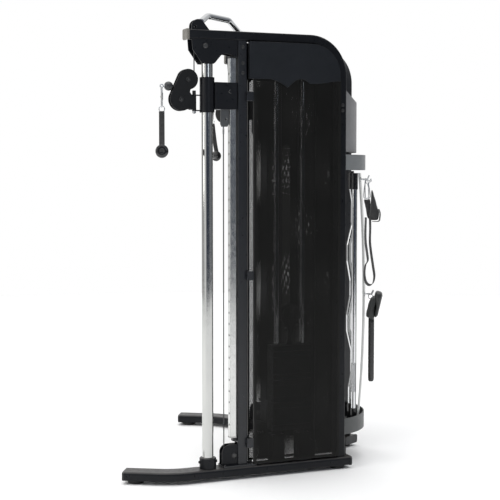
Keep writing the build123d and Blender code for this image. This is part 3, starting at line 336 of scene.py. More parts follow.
def surface(
    name, colour, rough, metal=0.0, shade=0.75, patch=7.0, grain=(900, 0.00008), wear=None, dust=0.0,
    zones=(), streak=None, edge=0.0012, coat=0.0, sheen=0.0, specular=0.5, pattern=None,
):
    """A finish with colour and gloss that vary over it, fine relief, worn edges and dust on top faces.

    zones are (where, colour, roughness, metallic) areas of another finish, or painted highlights where a zone paints
    lit faces lighter. streak is the axis that brushing runs along. pattern(tree, where) gives a height in metres and a
    colour factor, such as a weave's painted shade in its hollows.
    """
    made = bpy.data.materials.new(name)
    made.use_nodes = True
    tree = made.node_tree
    tree.nodes.clear()
    where = places(tree)
    point = where["point"]
    patches = add(tree, "TexNoise", {"Vector": point, "Scale": patch, "Detail": 5, "Roughness": 0.6}).outputs[0]
    fine = add(tree, "TexNoise", {"Vector": point, "Scale": grain[0], "Detail": 2}).outputs[0]
    marks = add(tree, "TexNoise", {"Vector": point, "Scale": patch * 6, "Detail": 4, "Distortion": 0.8}).outputs[0]
    base = mix(tree, spread(tree, patches, 0.35, 0.65, 0, 1), rgb([c * shade for c in colour]), rgb(colour))
    gloss = spread(tree, marks, 0.3, 0.7, rough[0], rough[1])
    height = calc(tree, "MULTIPLY", fine, grain[1])
    if streak:
        scale = [18.0 if axis == streak else 1500.0 for axis in "xyz"]
        stretched = add(tree, "Mapping", {"Vector": point, "Scale": scale}).outputs[0]
        brushed = add(tree, "TexNoise", {"Vector": stretched, "Scale": 1.0, "Detail": 2}).outputs[0]
        gloss = calc(tree, "ADD", gloss, spread(tree, brushed, 0.3, 0.7, -0.03, 0.05))
        height = calc(tree, "ADD", height, calc(tree, "MULTIPLY", brushed, 0.00001))
    metallic = metal
    for zone, zone_colour, zone_rough, zone_metal in zones:
        factor = zone(tree, where)
        dull = rgb([c * 0.82 for c in zone_colour])
        tone = mix(tree, spread(tree, patches, 0.35, 0.65, 0, 1), dull, rgb(zone_colour))
        base = mix(tree, factor, base, tone)
        zone_gloss = spread(tree, marks, 0.3, 0.7, zone_rough * 0.85, zone_rough * 1.2)
        gloss = add(tree, "Mix", {0: factor, 2: gloss, 3: zone_gloss}).outputs[0]
        metallic = add(tree, "Mix", {0: factor, 2: metallic, 3: zone_metal}).outputs[0]
    if pattern:
        relief, tint = pattern(tree, where)
        height = calc(tree, "ADD", height, relief)
        # For a weave the colour factor darkens its low points: painted shade in the hollows between threads.
        base = mix(tree, tint, rgb([c * 0.35 for c in colour]), base)
    round_edge = add(tree, "Bevel", {"Radius": edge}, samples=4).outputs[0]
    if wear:
        true = add(tree, "NewGeometry").outputs["Normal"]
        same = add(tree, "VectorMath", {0: round_edge, 1: true}, operation="DOT_PRODUCT").outputs["Value"]
        worn = calc(tree, "MULTIPLY", spread(tree, same, 0.995, 0.93, 0, 1), spread(tree, marks, 0.42, 0.6, 0.15, 1))
        base = mix(tree, calc(tree, "MULTIPLY", worn, wear[1]), base, rgb(wear[0]))
    if dust:
        upright = add(tree, "SeparateXYZ", {0: add(tree, "NewGeometry").outputs["Normal"]}).outputs[2]
        settled = spread(tree, patches, 0.3, 0.7, 0.5, 1)
        lying = calc(tree, "MULTIPLY", spread(tree, upright, 0.5, 1.0, 0, dust), settled)
        base = mix(tree, lying, base, rgb((0.36, 0.33, 0.3)))
        gloss = add(tree, "Mix", {0: lying, 2: gloss, 3: 0.8}).outputs[0]
    bump = add(tree, "Bump", {"Height": height, "Normal": round_edge, "Distance": 1.0, "Strength": 1.0}).outputs[0]
    values = {"Base Color": base, "Roughness": gloss, "Normal": bump, "Metallic": metallic}
    values.update({"Coat Weight": coat, "Coat Roughness": 0.08, "Sheen Weight": sheen, "Specular IOR Level": specular})
    shader = add(tree, "BsdfPrincipled", values)
    output = add(tree, "OutputMaterial")
    tree.links.new(shader.outputs[0], output.inputs["Surface"])
    return made


def weave(axis_a, axis_b, pitch=0.0016, depth=0.00018):
    """Plain weave from two crossed waves. Its colour factor darkens the weave's low points: painted shade in the
    hollows between threads.
    """
    def made(tree, where):
        waves = []
        for axis in (axis_a, axis_b):
            turn = calc(tree, "MULTIPLY", where[axis], 2 * pi / pitch)
            waves.append(calc(tree, "SINE", turn))
        crossed = calc(tree, "MULTIPLY", *waves)
        tint = spread(tree, crossed, -1, 1, 0.55, 1)
        return calc(tree, "MULTIPLY", crossed, depth), tint
    return made


def knurl(low, high, pitch=0.0016):
    """Diamond knurling between two heights."""
    def made(tree, where):
        zone = band("z", low, high)(tree, where)
        waves = []
        for slope in ("ADD", "SUBTRACT"):
            along = calc(tree, slope, calc(tree, "ADD", where["x"], where["y"]), where["z"])
            waves.append(calc(tree, "SINE", calc(tree, "MULTIPLY", along, 2 * pi / pitch)))
        crossed = calc(tree, "MULTIPLY", *waves)
        relief = calc(tree, "MULTIPLY", calc(tree, "MULTIPLY", crossed, 0.00015), zone)
        return relief, calc(tree, "SUBTRACT", 1.0, calc(tree, "MULTIPLY", zone, 0.25))
    return made


def perforated(base):
    """Adds staggered round holes to the sheet's faces, and leaves its turned-in edges solid."""
    tree = base.node_tree
    where = places(tree)
    pitch, hole, rise = 0.0052, 0.29, 0.866  # hole radius and row height are in pitches
    row = calc(tree, "DIVIDE", where["z"], pitch * rise)
    shift = calc(tree, "MULTIPLY", calc(tree, "FLOORED_MODULO", calc(tree, "FLOOR", row), 2.0), 0.5)
    column = calc(tree, "ADD", calc(tree, "DIVIDE", where["s"], pitch), shift)
    u = calc(tree, "SUBTRACT", calc(tree, "FRACT", column), 0.5)
    v = calc(tree, "MULTIPLY", calc(tree, "SUBTRACT", calc(tree, "FRACT", row), 0.5), rise)
    far = calc(tree, "SQRT", calc(tree, "ADD", calc(tree, "MULTIPLY", u, u), calc(tree, "MULTIPLY", v, v)))
    face = calc(tree, "GREATER_THAN", calc(tree, "ABSOLUTE", where["side"]), 0.0415)
    inside = calc(tree, "MULTIPLY", face, both(band("s", 0.397, 0.803), band("z", 0.072, 1.80))(tree, where))
    open_part = calc(tree, "MULTIPLY", calc(tree, "LESS_THAN", far, hole), inside)
    output = next(n for n in tree.nodes if n.type == "OUTPUT_MATERIAL")
    solid = output.inputs["Surface"].links[0].from_socket
    clear = add(tree, "BsdfTransparent").outputs[0]
    both_ways = add(tree, "MixShader", {0: open_part, 1: solid, 2: clear}).outputs[0]
    tree.links.new(both_ways, output.inputs["Surface"])
    return base


BLACK, SLATE, STEEL = (0.0075, 0.0085, 0.011), (0.0125, 0.0145, 0.018), (0.62, 0.63, 0.65)
ZINC, CHROME = (0.5, 0.5, 0.49), (0.66, 0.67, 0.68)
WORN = ((0.16, 0.15, 0.14), 0.35)

black = surface("black_powder_coat", BLACK, (0.26, 0.4), grain=(1100, 0.00005), wear=WORN, dust=0.12, specular=0.22)
post_paint = surface(
    "post_powder_coat", (0.0115, 0.013, 0.0165), (0.27, 0.32), shade=0.92, grain=(1300, 0.00002), wear=WORN,
    specular=0.5,
)
cover = surface("slate_cover_paint", SLATE, (0.3, 0.42), shade=0.85, grain=(1300, 0.00004), wear=WORN, specular=0.28)
sheet = perforated(
    surface("perforated_sheet", (0.008, 0.008, 0.0072), (0.38, 0.5), grain=(1300, 0.00004), specular=0.2)
)
chrome = surface("chrome_plate", CHROME, (0.05, 0.12), metal=1.0, shade=0.96, grain=(60, 0.00001), patch=5)
column_chrome = surface(
    "column_chrome", (0.58, 0.585, 0.57), (0.07, 0.13), metal=1.0, shade=0.94, grain=(60, 0.00001), patch=5, streak="z",
)
silver_sheet = surface("pale_silver_sheet", (0.62, 0.63, 0.61), (0.3, 0.42), metal=0.25, shade=0.93, streak="z")
grey = surface(
    "grey_paint", (0.19, 0.2, 0.205), (0.36, 0.5), shade=0.88, grain=(1000, 0.00006), dust=0.1,
    zones=((band("z", 0.0, 0.3), (0.075, 0.08, 0.08), 0.42, 0.0),),
)
dark_grey = surface("dark_grey_paint", (0.07, 0.075, 0.075), (0.4, 0.52), shade=0.85, grain=(1000, 0.00006), dust=0.1)
panel_grey = surface("panel_grey_paint", (0.16, 0.16, 0.165), (0.4, 0.5), shade=0.9, grain=(1000, 0.00006))
zinc = surface("zinc_plate", ZINC, (0.24, 0.38), metal=1.0, shade=0.8, patch=40, grain=(700, 0.00004))
jacket = surface("cable_jacket", (0.035, 0.036, 0.038), (0.28, 0.4), grain=(500, 0.00003))
rubber = surface("rubber", (0.02, 0.02, 0.02), (0.55, 0.75), grain=(700, 0.00012), dust=0.2)
grip_foam = surface("grip_rubber", (0.016, 0.016, 0.017), (0.22, 0.34), grain=(500, 0.00012), coat=0.25)
webbing = surface("woven_webbing", (0.017, 0.017, 0.018), (0.6, 0.8), pattern=weave("s", "z"), sheen=0.3)
strap_web = surface("woven_strap", (0.017, 0.017, 0.018), (0.6, 0.8), pattern=weave("x", "z"), sheen=0.3)
neoprene = surface(
    "padded_fabric", (0.02, 0.02, 0.021), (0.55, 0.75), pattern=weave("y", "z", 0.0011, 0.0001), sheen=0.35,
)
vinyl = surface("padded_vinyl", (0.024, 0.026, 0.025), (0.35, 0.5), grain=(420, 0.0003), patch=12)
thread = surface("sewing_thread", (0.09, 0.09, 0.09), (0.6, 0.8), grain=(2500, 0.0001))
plates_paint = surface("plate_paint", (0.03, 0.03, 0.03), (0.4, 0.55), wear=((0.3, 0.3, 0.3), 0.6), grain=(600, 0.0001))

columns = surface(
    "position_column_chrome", (0.66, 0.665, 0.65), (0.12, 0.22), metal=1.0, shade=0.95, grain=(300, 0.00002),
    streak="z",
)
end_caps = surface(
    "end_cap_plastic_with_painted_highlights", (0.016, 0.017, 0.019), (0.35, 0.5), grain=(800, 0.00008), dust=0.15,
    zones=(
        # The first two zones are painted highlights: they paint the black caps' lit front faces beige-grey.
        (both(band("s", 0.06, 0.0885), band("z", 1.9, 2.1)), (0.2, 0.19, 0.17), 0.45, 0.0),
        (both(band("s", 0.27, 0.32), band("z", 1.8971, 1.96)), (0.3, 0.28, 0.25), 0.5, 0.0),
        (both(band("s", 0.27, 0.32), band("z", 0.1845, 0.1912)), (0.6, 0.6, 0.58), 0.4, 0.0),
    ),
)
carriage_paint = surface(
    "carriage_paint", BLACK, (0.26, 0.4), grain=(1100, 0.00005), wear=WORN, dust=0.12, specular=0.25,
    zones=(
        (both(band("s", 0.235, 0.3), band("z", 1.5, 1.6601)), (0.12, 0.125, 0.13), 0.4, 0.3),
        (both(band("s", 0.105, 0.1265), band("z", 1.64, 1.6515)), STEEL, 0.3, 1.0),
        (both(band("s", 0.105, 0.1265), band("z", 1.7236, 1.745)), (0.03, 0.03, 0.03), 0.4, 0.0),
    ),
)
cheek_paint = surface(
    "swivel_paint", (0.009, 0.0095, 0.0105), (0.34, 0.48), grain=(800, 0.0001), wear=WORN, dust=0.1, specular=0.25,
)
stop_rubber = surface(
    "stop_ball_rubber", (0.035, 0.037, 0.04), (0.3, 0.42), grain=(600, 0.00006),
    zones=((band("s", -0.06, -0.0203), CHROME, 0.18, 1.0),),
)
lock_pin = surface(
    "lock_pin_finish", STEEL, (0.2, 0.3), metal=1.0,
    zones=((band("side", -0.08, -0.0335), (0.62, 0.025, 0.02), 0.3, 0.0),),
)
selector = surface(
    "selector_pin_finish", STEEL, (0.2, 0.3), metal=1.0,
    zones=((band("side", -0.12, -0.0615), (0.02, 0.02, 0.02), 0.35, 0.0),),
)
stem = surface(
    "lift_stem_finish", STEEL, (0.2, 0.3), metal=1.0, zones=((band("z", 0.594, 0.8), (0.015, 0.016, 0.018), 0.4, 0.0),),
)
bars = surface(
    "stored_bar_chrome", CHROME, (0.05, 0.12), metal=1.0, shade=0.96, pattern=knurl(0.33, 0.47),
    zones=tuple((band("z", low, high), (0.012, 0.012, 0.013), 0.22, 0.0) for low, high in ((0.1, 0.25), (1.302, 1.4))),
)

LOOKS = {
    "base_rails": black, "frame_tubes": black, "front_posts": post_paint, "guide_columns": column_chrome,
    "column_collars": black, "position_columns": columns, "pulley_brackets": black, "guide_rods": chrome,
    "resting_plates": plates_paint,
    "stack_risers": black, "rubber_pads": rubber, "end_caps": end_caps, "mesh_panels": sheet, "upper_covers": cover,
    "pull_up_bar": chrome, "rear_cross_tubes": dark_grey, "top_panel": panel_grey, "accessory_trays": grey,
    "back_panel": silver_sheet, "stored_bars": bars, "storage_hooks": chrome,
}
for node_name, look in {
    "carriage": carriage_paint, "lock_pin": lock_pin, "swivel_frame": cheek_paint, "cable_stop": stop_rubber,
    "snap_hook": chrome, "lifted_plates": plates_paint, "lift_stem": stem, "selector_pin": selector,
}.items():
    for hand_name, _ in HANDS:
        LOOKS[f"{hand_name}_{node_name}"] = look
for wheel_name, centre in (
    ("swivel_pulley_upper", SWIVEL_UPPER), ("swivel_pulley_lower", SWIVEL_LOWER), ("stack_pulley", FLOATING),
    ("top_front_pulley", TOP_FRONT), ("top_mid_pulley", TOP_MID), ("top_rear_pulley", TOP_REAR),
    ("bottom_rear_pulley", BOTTOM_REAR), ("bottom_front_pulley", BOTTOM_FRONT),
):
    look = surface(
        f"{wheel_name}_nylon", (0.018, 0.018, 0.019), (0.3, 0.42), grain=(500, 0.00004),
        zones=(
            (disc(centre, 0.0, 0.0095), STEEL, 0.25, 1.0),
            (disc(centre, 0.0095, 0.013), (0.05, 0.03, 0.02), 0.4, 0.0),
        ),
    )
    for hand_name, _ in HANDS:
        LOOKS[f"{hand_name}_{wheel_name}"] = look
for node_name, look in LOOKS.items():
    NODES[node_name].data.materials.clear()
    NODES[node_name].data.materials.append(look)


# ---- Cables ----
HIGH_RUN, LOW_RUN = TOP_FRONT[1] + REACH, BOTTOM_REAR[1] - REACH
ANCHOR_S, ANCHOR_TOP = BOTTOM_FRONT[0] - REACH, 1.593  # where the rising end is held under the carriage


def cable_piece(name, paths):
    shape = Shape()
    for path in paths:
        shape.tube(path, CABLE_R, 14)
    return shape.object(name, jacket)


for hand_name, hand in HANDS:
    start, end = at(0.0135, PULL_Z, 0, hand), at(SWIVEL_UPPER[0], PULL_Z, 0, hand)
    pull = cable_piece(f"{hand_name}_cable_pull", [line(start, end, 12)])
    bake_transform(pull)
    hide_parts(f"{hand_name}_cable")

    turn = cable_piece(f"{hand_name}_cable_swivel", [arc(SWIVEL_UPPER, SMALL_REACH, -90, 0, hand)])
    finished(turn, f"{hand_name}_swivel", "cable_jacket")

    low, high = at(HINGE_S, SWIVEL_UPPER[1], 0, hand), at(HINGE_S, TOP_FRONT[1], 0, hand)
    riser = cable_piece(f"{hand_name}_cable_riser", [line(low, high, 12)])
    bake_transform(riser)

    over = arc(TOP_FRONT, REACH, 180, 90, hand)
    over += line(at(TOP_FRONT[0], HIGH_RUN, 0, hand), at(TOP_MID[0], HIGH_RUN, 0, hand), 8)[1:-1]
    over += arc(TOP_MID, REACH, 90, 0, hand)
    finished(cable_piece(f"{hand_name}_cable_top", [over]), "frame", "cable_jacket")

    falls = []
    for s in (FLOATING[0] - REACH, FLOATING[0] + REACH):
        falls.append(line(at(s, TOP_MID[1], 0, hand), at(s, FLOATING[1], 0, hand), 24))
    fall = cable_piece(f"{hand_name}_cable_falls", falls)
    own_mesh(fall)
    finished(fall, "frame", "cable_jacket")

    loop = cable_piece(f"{hand_name}_cable_stack", [arc(FLOATING, REACH, 180, 360, hand, 30)])
    finished(loop, f"{hand_name}_stack", "cable_jacket")

    rear = arc(TOP_REAR, REACH, 180, 0, hand, 30)
    upper, lower = at(TOP_REAR[0] + REACH, TOP_REAR[1], 0, hand), at(BOTTOM_REAR[0] + REACH, BOTTOM_REAR[1], 0, hand)
    rear += line(upper, lower, 20)[1:-1]
    rear += arc(BOTTOM_REAR, REACH, 0, -90, hand)
    rear += line(at(BOTTOM_REAR[0], LOW_RUN, 0, hand), at(BOTTOM_FRONT[0], LOW_RUN, 0, hand), 8)[1:-1]
    rear += arc(BOTTOM_FRONT, REACH, -90, -180, hand)
    finished(cable_piece(f"{hand_name}_cable_rear", [rear]), "frame", "cable_jacket")

    straight = line(at(ANCHOR_S, BOTTOM_FRONT[1], 0, hand), at(ANCHOR_S, ANCHOR_TOP, 0, hand), 24)
    anchored = cable_piece(f"{hand_name}_cable_anchor", [straight])
    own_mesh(anchored)
    finished(anchored, "frame", "cable_jacket")


# ---- Fasteners ----
fasteners = Shape()
for _, hand in HANDS:
    out = turned(OUT, hand)
    axles = [(place, 0.03) for place in (TOP_FRONT, TOP_MID, TOP_REAR)]
    axles += [(place, 0.018) for place in (BOTTOM_FRONT, BOTTOM_REAR)]
    for place, reach in axles:
        fasteners.tube([at(*place, -reach, hand), at(*place, reach, hand)], 0.006, 20)
        for way in (1, -1):
            fasteners.bolt(at(*place, way * reach, hand), out * way, 0.0095, 0.006)
    for z in (1.938, 1.867, 1.824):
        fasteners.bolt(at(0.34, z, 0.025, hand), out, 0.0068, 0.005)
    for z in (1.692, 1.667):
        fasteners.bolt(at(0.831, z, 0.03, hand), out, 0.0068, 0.005)
    for s, aside in ((0.393, 0.021), (0.25, 0.028)):
        for side in (aside, -aside):
            fasteners.bolt(at(s, 0.063, side, hand), UP, 0.0068, 0.005)
fastener_zinc = surface("dark_zinc", (0.1, 0.1, 0.1), (0.3, 0.45), metal=1.0, shade=0.8, patch=40, grain=(700, 0.00004))
finished(fasteners.object("frame_fasteners", fastener_zinc), "frame", "zinc", "frame_bolts")

for hand_name, hand in HANDS:
    out = turned(OUT, hand)
    screws = Shape().bolt(at(0.277, 1.739, 0.0302, hand), out, 0.006, 0.0035)
    finished(screws.object(f"{hand_name}_carriage_screw", zinc), f"{hand_name}_carriage", "zinc")
    nuts = Shape()
    for place in (SWIVEL_UPPER, SWIVEL_LOWER):
        for way in (1, -1):
            washer = [(0.0098, 0.0), (0.0098, 0.0011), (0.0092, 0.0014), (0.001, 0.0014)]
            nuts.lathe(washer, at(*place, way * 0.0151, hand), out * way)
            nut = [(0.0055, 0.003), (0.0055, 0.0052), (0.0045, 0.006), (0.0005, 0.006)]
            nuts.lathe(nut, at(*place, way * 0.0131, hand), out * way)
    finished(nuts.object(f"{hand_name}_swivel_nuts", fastener_zinc), f"{hand_name}_swivel", "zinc")


# ---- Handles ----
def handle_pieces(hand_name, hand):
    body = f"{hand_name}_handle"

    twist = Matrix.Rotation(HANDLE_TURN, 3, "Z")
    out, along = turned(twist @ OUT, hand), turned(twist @ ALONG, hand)

    def spot(side, z, s=EYE_S):
        return at(EYE_S, z, 0, hand) + out * side + along * (s - EYE_S)

    ring = Shape().torus(spot(0, RING_Z), turned(OUT, hand), 0.01275, 0.00215, 44, 14)
    finished(ring.object(f"{hand_name}_handle_ring", chrome), body, "chrome", f"{hand_name}_handle")

    strap = Shape()
    top_z = RING_Z - 0.0105
    route = [(-0.0635, GRIP_Z - 0.004), (-0.0637, GRIP_Z + 0.019), (-0.058, GRIP_Z + 0.031), (-0.036, GRIP_Z + 0.079)]
    route += [(-0.0095, top_z - 0.016), (-0.0048, top_z - 0.002), (0, top_z + 0.0008)]
    route += [(-a, z) for a, z in route[-2::-1]]
    strap.tube(smoothed([spot(a, z) for a, z in route], 7), 0.0122, flat=0.0021, facing=along)
    band_route = [(-0.0122, top_z - 0.022), (0.0122, top_z - 0.022)]
    strap.tube([spot(*band_route[0]), spot(*band_route[1])], 0.007, flat=0.0018, facing=along)
    finished(strap.object(f"{hand_name}_handle_webbing", webbing), body, "webbing")

    stitches = Shape()
    lower, upper = Vector((0.0605, GRIP_Z + 0.024)), Vector((0.0125, top_z - 0.012))
    for way in (1, -1):
        for edge in (-0.0095, 0.0095):
            for k in range(26):
                a, b = lower.lerp(upper, (k + 0.15) / 26), lower.lerp(upper, (k + 0.7) / 26)
                stitches.tube([spot(way * (p.x + 0.0009), p.y, EYE_S + edge) for p in (a, b)], 0.00035, 6)
    finished(stitches.object(f"{hand_name}_handle_stitching", thread), body, "webbing")

    grip = Shape()
    profile = [(0.0135, -0.0545), (0.0152, -0.053), (0.0158, -0.046), (0.0152, -0.02), (0.0158, 0.0)]
    profile += [(r, -h) for r, h in profile[-2::-1]]
    ribbed = []
    for (r0, h0), (r1, h1) in zip(profile, profile[1:]):
        steps = max(2, int(abs(h1 - h0) / 0.0012))
        for k in range(steps):
            groove = 0.0005 if k % 3 == 0 and k else 0
            ribbed.append((r0 + (r1 - r0) * k / steps - groove, h0 + (h1 - h0) * k / steps))
    grip.lathe(ribbed + [profile[-1]], spot(0, GRIP_Z), out, 48)
    finished(grip.object(f"{hand_name}_handle_grip", grip_foam), body, "rubber")

    discs = Shape()
    for way in (1, -1):
        dome = [(0.0145, 0.0545), (0.024, 0.0547), (0.0278, 0.0562), (0.0285, 0.058), (0.028, 0.0605), (0.0245, 0.0633)]
        dome += [(0.019, 0.0649), (0.0125, 0.0657), (0.0105, 0.0652), (0.0098, 0.0644), (0.004, 0.0644)]
        discs.lathe(dome, spot(0, GRIP_Z), out * way, 56)
    finished(discs.object(f"{hand_name}_handle_discs", disc_gloss), body, "rubber")


disc_gloss = surface("gloss_disc", (0.012, 0.012, 0.013), (0.12, 0.2), grain=(300, 0.00002), coat=0.4)
for hand_name, hand in HANDS:
    handle_pieces(hand_name, hand)
    gate = Shape()
    barrel = [(0.0023, -0.016), (0.0034, -0.0155), (0.0036, 0.0), (0.0034, 0.0155), (0.0023, 0.016)]
    gate.lathe(barrel, at(EYE_S, PULL_Z - 0.046, 0.008, hand), UP, 24)
    collar = [(0.0023, -0.004), (0.0031, -0.0035), (0.0031, 0.0035), (0.0023, 0.004)]
    gate.lathe(collar, at(EYE_S, PULL_Z - 0.046, -0.008, hand), UP, 24)
    finished(gate.object(f"{hand_name}_snap_hook_gate", zinc), f"{hand_name}_snap_hook", "chrome")
    seam = Shape().torus(at(-0.0005, PULL_Z, 0, hand), turned(ALONG, hand), 0.0198, 0.0006, 48, 8)
    finished(seam.object(f"{hand_name}_stop_seam", rubber), f"{hand_name}_cable_stop", "ball_rubber")
    sleeve = Shape().lathe(
        [(0.0026, -0.034), (0.0042, -0.033), (0.0042, -0.012), (0.0034, -0.011), (0.0034, 0.0)],
        at(ANCHOR_S, ANCHOR_TOP - 0.0075, 0, hand), UP, 24,
    )
    finished(sleeve.object(f"{hand_name}_cable_ferrule", zinc), f"{hand_name}_carriage", "zinc")


# ---- Stored straps ----
def pillow(outline, width_way, half, rounding=0.6, steps=7):
    """Crowned closed form: the outline shrinks towards its middle while its height grows to `half` each way."""
    centre = sum(outline, Vector()) / len(outline)
    layers = []
    profile = [k / steps for k in range(steps + 1)]
    for way, order in ((-1, profile), (1, profile[::-1][1:])):
        for t in order:
            scale = 0.06 + 0.94 * t
            lift = way * half * max(0.0, 1 - t**2.4) ** rounding
            layers.append([centre + (p - centre) * scale + width_way * lift for p in outline])
    return Shape().rings(layers)


def puffed(shape, name, material, cap, pressure=4.0, seed=0.0):
    """Closes the form to an even mesh, swells it as cloth with air inside and smooths it."""
    piece = shape.object(name, material)
    remesh = piece.modifiers.new("Remesh", "REMESH")
    remesh.mode, remesh.voxel_size = "VOXEL", 0.004
    graph = bpy.context.evaluated_depsgraph_get()
    mesh = bpy.data.meshes.new_from_object(piece.evaluated_get(graph))
    piece.modifiers.clear()
    piece.data = mesh
    if not mesh.materials:
        mesh.materials.append(material)
    rest = [v.co.copy() for v in mesh.vertices]
    cloth = piece.modifiers.new("Cloth", "CLOTH")
    cloth.settings.use_pressure = True
    cloth.settings.uniform_pressure_force = pressure
    cloth.settings.effector_weights.gravity = 0
    for step in range(1, 21):
        bpy.context.scene.frame_set(step)
    graph = bpy.context.evaluated_depsgraph_get()
    swelled = [v.co.copy() for v in piece.evaluated_get(graph).data.vertices]
    piece.modifiers.clear()
    bpy.context.scene.frame_set(1)
    for vertex, before, after in zip(mesh.vertices, rest, swelled):
        move = after - before
        vertex.co = before + move * min(1.0, cap / max(move.length, 1e-9))
    for vertex in mesh.vertices:
        crease = noise.noise(vertex.co * 38 + Vector((seed, 0, 0))) * 0.0011 + noise.noise(vertex.co * 110) * 0.0004
        vertex.co += vertex.normal * crease
    smooth = piece.modifiers.new("Subdivision", "SUBSURF")
    smooth.levels = smooth.render_levels = 1
    for face in mesh.polygons:
        face.use_smooth = True
    return piece


def near(hook, x, *points):
    """Points given as (y, z) from a hook's root, in the plane x away from it."""
    return [hook + Vector((x, y, z)) for y, z in points]


hook = HOOK_UP
cuff_outline = smoothed(
    near(hook, 0.006, (0.0525, -0.048), (0.06, -0.052), (0.074, -0.1), (0.086, -0.14), (0.091, -0.158), (0.09, -0.18),
         (0.083, -0.194), (0.062, -0.195), (0.045, -0.191), (0.045, -0.15), (0.05, -0.095)),
    5, closed=True,
)
cuff = puffed(pillow(cuff_outline, Vector((1, 0, 0)), 0.0145), "ankle_cuff_outer", neoprene, 0.004, seed=3.0)
finished(cuff, "frame", "webbing", "ankle_strap")
flap_outline = smoothed(
    near(hook, -0.006, (0.0165, -0.0925), (0.03, -0.0935), (0.046, -0.0915), (0.0495, -0.11), (0.049, -0.16),
         (0.0465, -0.188), (0.0385, -0.188), (0.0325, -0.176), (0.026, -0.14), (0.019, -0.108)),
    5, closed=True,
)
flap = puffed(pillow(flap_outline, Vector((1, 0, 0)), 0.011), "ankle_cuff_inner", neoprene, 0.003, seed=9.0)
finished(flap, "frame", "webbing")

fold_route = [(0.088, -0.14), (0.0945, -0.158), (0.0935, -0.18), (0.088, -0.1975), (0.058, -0.199)]
fold = Shape().tube(smoothed(near(hook, 0.004, *fold_route), 5), 0.014, flat=0.0024, facing=Vector((1, 0.2, 0)))
tail = [(0.0275, -0.18), (0.026, -0.25), (0.0275, -0.3), (0.034, -0.347), (0.0375, -0.384), (0.0265, -0.41)]
tail += [(0.0225, -0.45), (0.0295, -0.487), (0.0455, -0.5015), (0.0625, -0.492), (0.0695, -0.46), (0.0635, -0.415)]
tail += [(0.0565, -0.37), (0.051, -0.33), (0.0475, -0.29), (0.0485, -0.23), (0.047, -0.18)]
fold.tube(smoothed(near(hook, 0, *tail), 6), 0.0125, flat=0.0024, facing=Vector((1, 0.42, 0.5)))
finished(fold.object("ankle_strap_webbing", strap_web), "frame", "webbing")

rings = Shape()
for x, lean in ((-0.008, -0.001), (0.006, 0.006)):
    wire = [(0.03, 0.004), (0.036, -0.004), (0.041 + lean, -0.07), (0.037 + lean, -0.089), (0.022 + lean, -0.089)]
    wire += [(0.018 + lean, -0.07), (0.024, -0.004)]
    rings.tube(smoothed(near(hook, x, *wire), 6, closed=True), 0.0022, 10, closed=True)
rings.torus(hook + Vector((0, 0.036, -0.012)), Vector((1, 0, 0.3)), 0.0095, 0.002)
rings.torus(hook + Vector((0.004, 0.05, -0.004)), Vector((0.3, 1, 0)), 0.008, 0.0018)
catch = [(0.0019, -0.014), (0.0034, -0.0135), (0.0034, 0.0135), (0.0019, 0.014)]
rings.lathe(catch, hook + Vector((0.006, 0.0395, -0.034)), Vector((0, 0.25, -1)))
finished(rings.object("ankle_strap_rings", chrome), "frame", "chrome")

hook = HOOK_LOW
pads = (
    (0.044, ((0.031, -0.02), (0.0565, -0.012), (0.053, -0.06), (0.0455, -0.119), (0.026, -0.113), (0.0095, -0.104),
             (0.018, -0.07))),
    (0.047, ((0.053, 0.01), (0.0835, 0.006), (0.079, -0.025), (0.068, -0.074), (0.06, -0.106), (0.0505, -0.108),
             (0.0565, -0.06))),
)
for k, (width, corners) in enumerate(pads):
    outline = smoothed(near(hook, 0, *corners), 5, closed=True)
    shell = [[p + Vector((side * width, 0, 0)) for p in outline] for side in (-1, -0.97, -0.6, -0.2, 0.2, 0.6, 0.97, 1)]
    centre = sum(outline, Vector()) / len(outline)
    for ring, grow in zip(shell, (0.62, 0.9, 1.0, 1.02, 1.02, 1.0, 0.9, 0.62)):
        c = centre + Vector((ring[0].x - hook.x, 0, 0))
        ring[:] = [c + (p - c) * grow for p in ring]
    pad = puffed(Shape().rings(shell), f"sling_pad_{k + 1}", vinyl, 0.003, seed=5.0 * k)
    if k == 0:
        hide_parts("padded_strap")
    finished(pad, "frame", "webbing")
rod = Shape().lathe(
    [(0.0125, 0.0), (0.014, -0.004), (0.0144, -0.03), (0.0145, -0.16), (0.0144, -0.3), (0.013, -0.309),
     (0.0092, -0.314), (0.002, -0.315)],
    hook + Vector((0, 0.034, -0.108)), UP, 40,
)
finished(rod.object("sling_rod", grip_foam), "frame", "rubber")
link = Shape()
link.torus(hook + Vector((0, 0.03, -0.012)), Vector((1, 0.2, 0)), 0.011, 0.0019)
link.torus(hook + Vector((0.006, 0.042, -0.016)), Vector((0.3, 1, 0.2)), 0.009, 0.0018)
finished(link.object("sling_rings", chrome), "frame", "chrome")

# ---- Floor, light and camera ----
scene = bpy.context.scene
scene.view_settings.view_transform = "Standard"

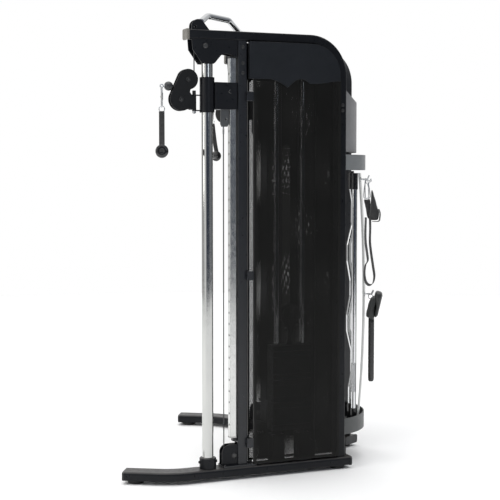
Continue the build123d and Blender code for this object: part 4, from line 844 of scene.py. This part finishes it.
ground = bpy.data.meshes.new("studio_floor")
FLOOR_RADIUS = 8
rim = [(FLOOR_RADIUS * cos(a), FLOOR_RADIUS * sin(a), 0) for a in turns(96)]
ground.from_pydata(rim, [], [list(range(len(rim)))])
floor = bpy.data.objects.new("studio_floor", ground)
scene.collection.objects.link(floor)
ground.materials.append(surface("pale_floor", (0.93, 0.93, 0.93), (0.6, 0.7), shade=0.99, patch=2, specular=0.2))
floor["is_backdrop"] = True

world = bpy.data.worlds.new("studio")
scene.world = world
world.use_nodes = True
tree = world.node_tree
tree.nodes.clear()
direction = add(tree, "TexCoord").outputs["Generated"]
dark_way = Vector((cos(radians(22)), sin(radians(22)), 0.12)).normalized()
facing = add(tree, "VectorMath", {0: direction, 1: tuple(dark_way)}, operation="DOT_PRODUCT").outputs["Value"]
towards_y = add(tree, "SeparateXYZ", {0: direction}).outputs[1]
walls = mix(tree, spread(tree, towards_y, 0.3, 0.95, 0, 1), (1.0, 1.0, 1.0, 1), (0.22, 0.23, 0.25, 1))
walls = mix(tree, spread(tree, towards_y, -0.55, -1.0, 0, 1), walls, (0.4, 0.4, 0.4, 1))
room = mix(tree, spread(tree, facing, 0.6, 0.92, 0, 1), walls, (0.05, 0.06, 0.085, 1))
shown = mix(tree, add(tree, "LightPath").outputs["Is Camera Ray"], room, (1, 1, 1, 1))
background = add(tree, "Background", {"Color": shown, "Strength": 1.0})
tree.links.new(background.outputs[0], add(tree, "OutputWorld").inputs[0])


def softbox(name, place, aim, size, power, colour=(1, 1, 1)):
    lamp = bpy.data.lights.new(name, "AREA")
    lamp.shape, lamp.size, lamp.size_y, lamp.energy, lamp.color = "RECTANGLE", *size, power, colour
    made = bpy.data.objects.new(name, lamp)
    made.location = place
    made.rotation_euler = (Vector(aim) - Vector(place)).to_track_quat("-Z", "Y").to_euler()
    scene.collection.objects.link(made)


softbox("overhead", (1.0, -0.5, 5.0), (0, 0, 0.8), (6, 6), 40)
softbox("front_left", (2.6, -4.2, 2.6), (0.3, 0, 1.0), (2.2, 3.0), 45, (1.0, 0.98, 0.95))
softbox("camera_fill", (5.0, 3.2, 2.8), (0.3, 0.1, 1.1), (1.6, 1.6), 15, (0.85, 0.92, 1.0))

sun = bpy.data.lights.new("overhead_sun", "SUN")
sun.energy, sun.angle = 1.25, radians(50)
scene.collection.objects.link(bpy.data.objects.new("overhead_sun", sun))

camera = bpy.data.objects.new("camera", bpy.data.cameras.new("camera"))
camera.data.lens, camera.data.sensor_width = 86.4, 36
camera.location = (5.806, 0.711, 1.375)
camera.rotation_euler = (radians(86.38), 0, radians(97.8))
scene.collection.objects.link(camera)
scene.camera = camera

low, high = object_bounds()
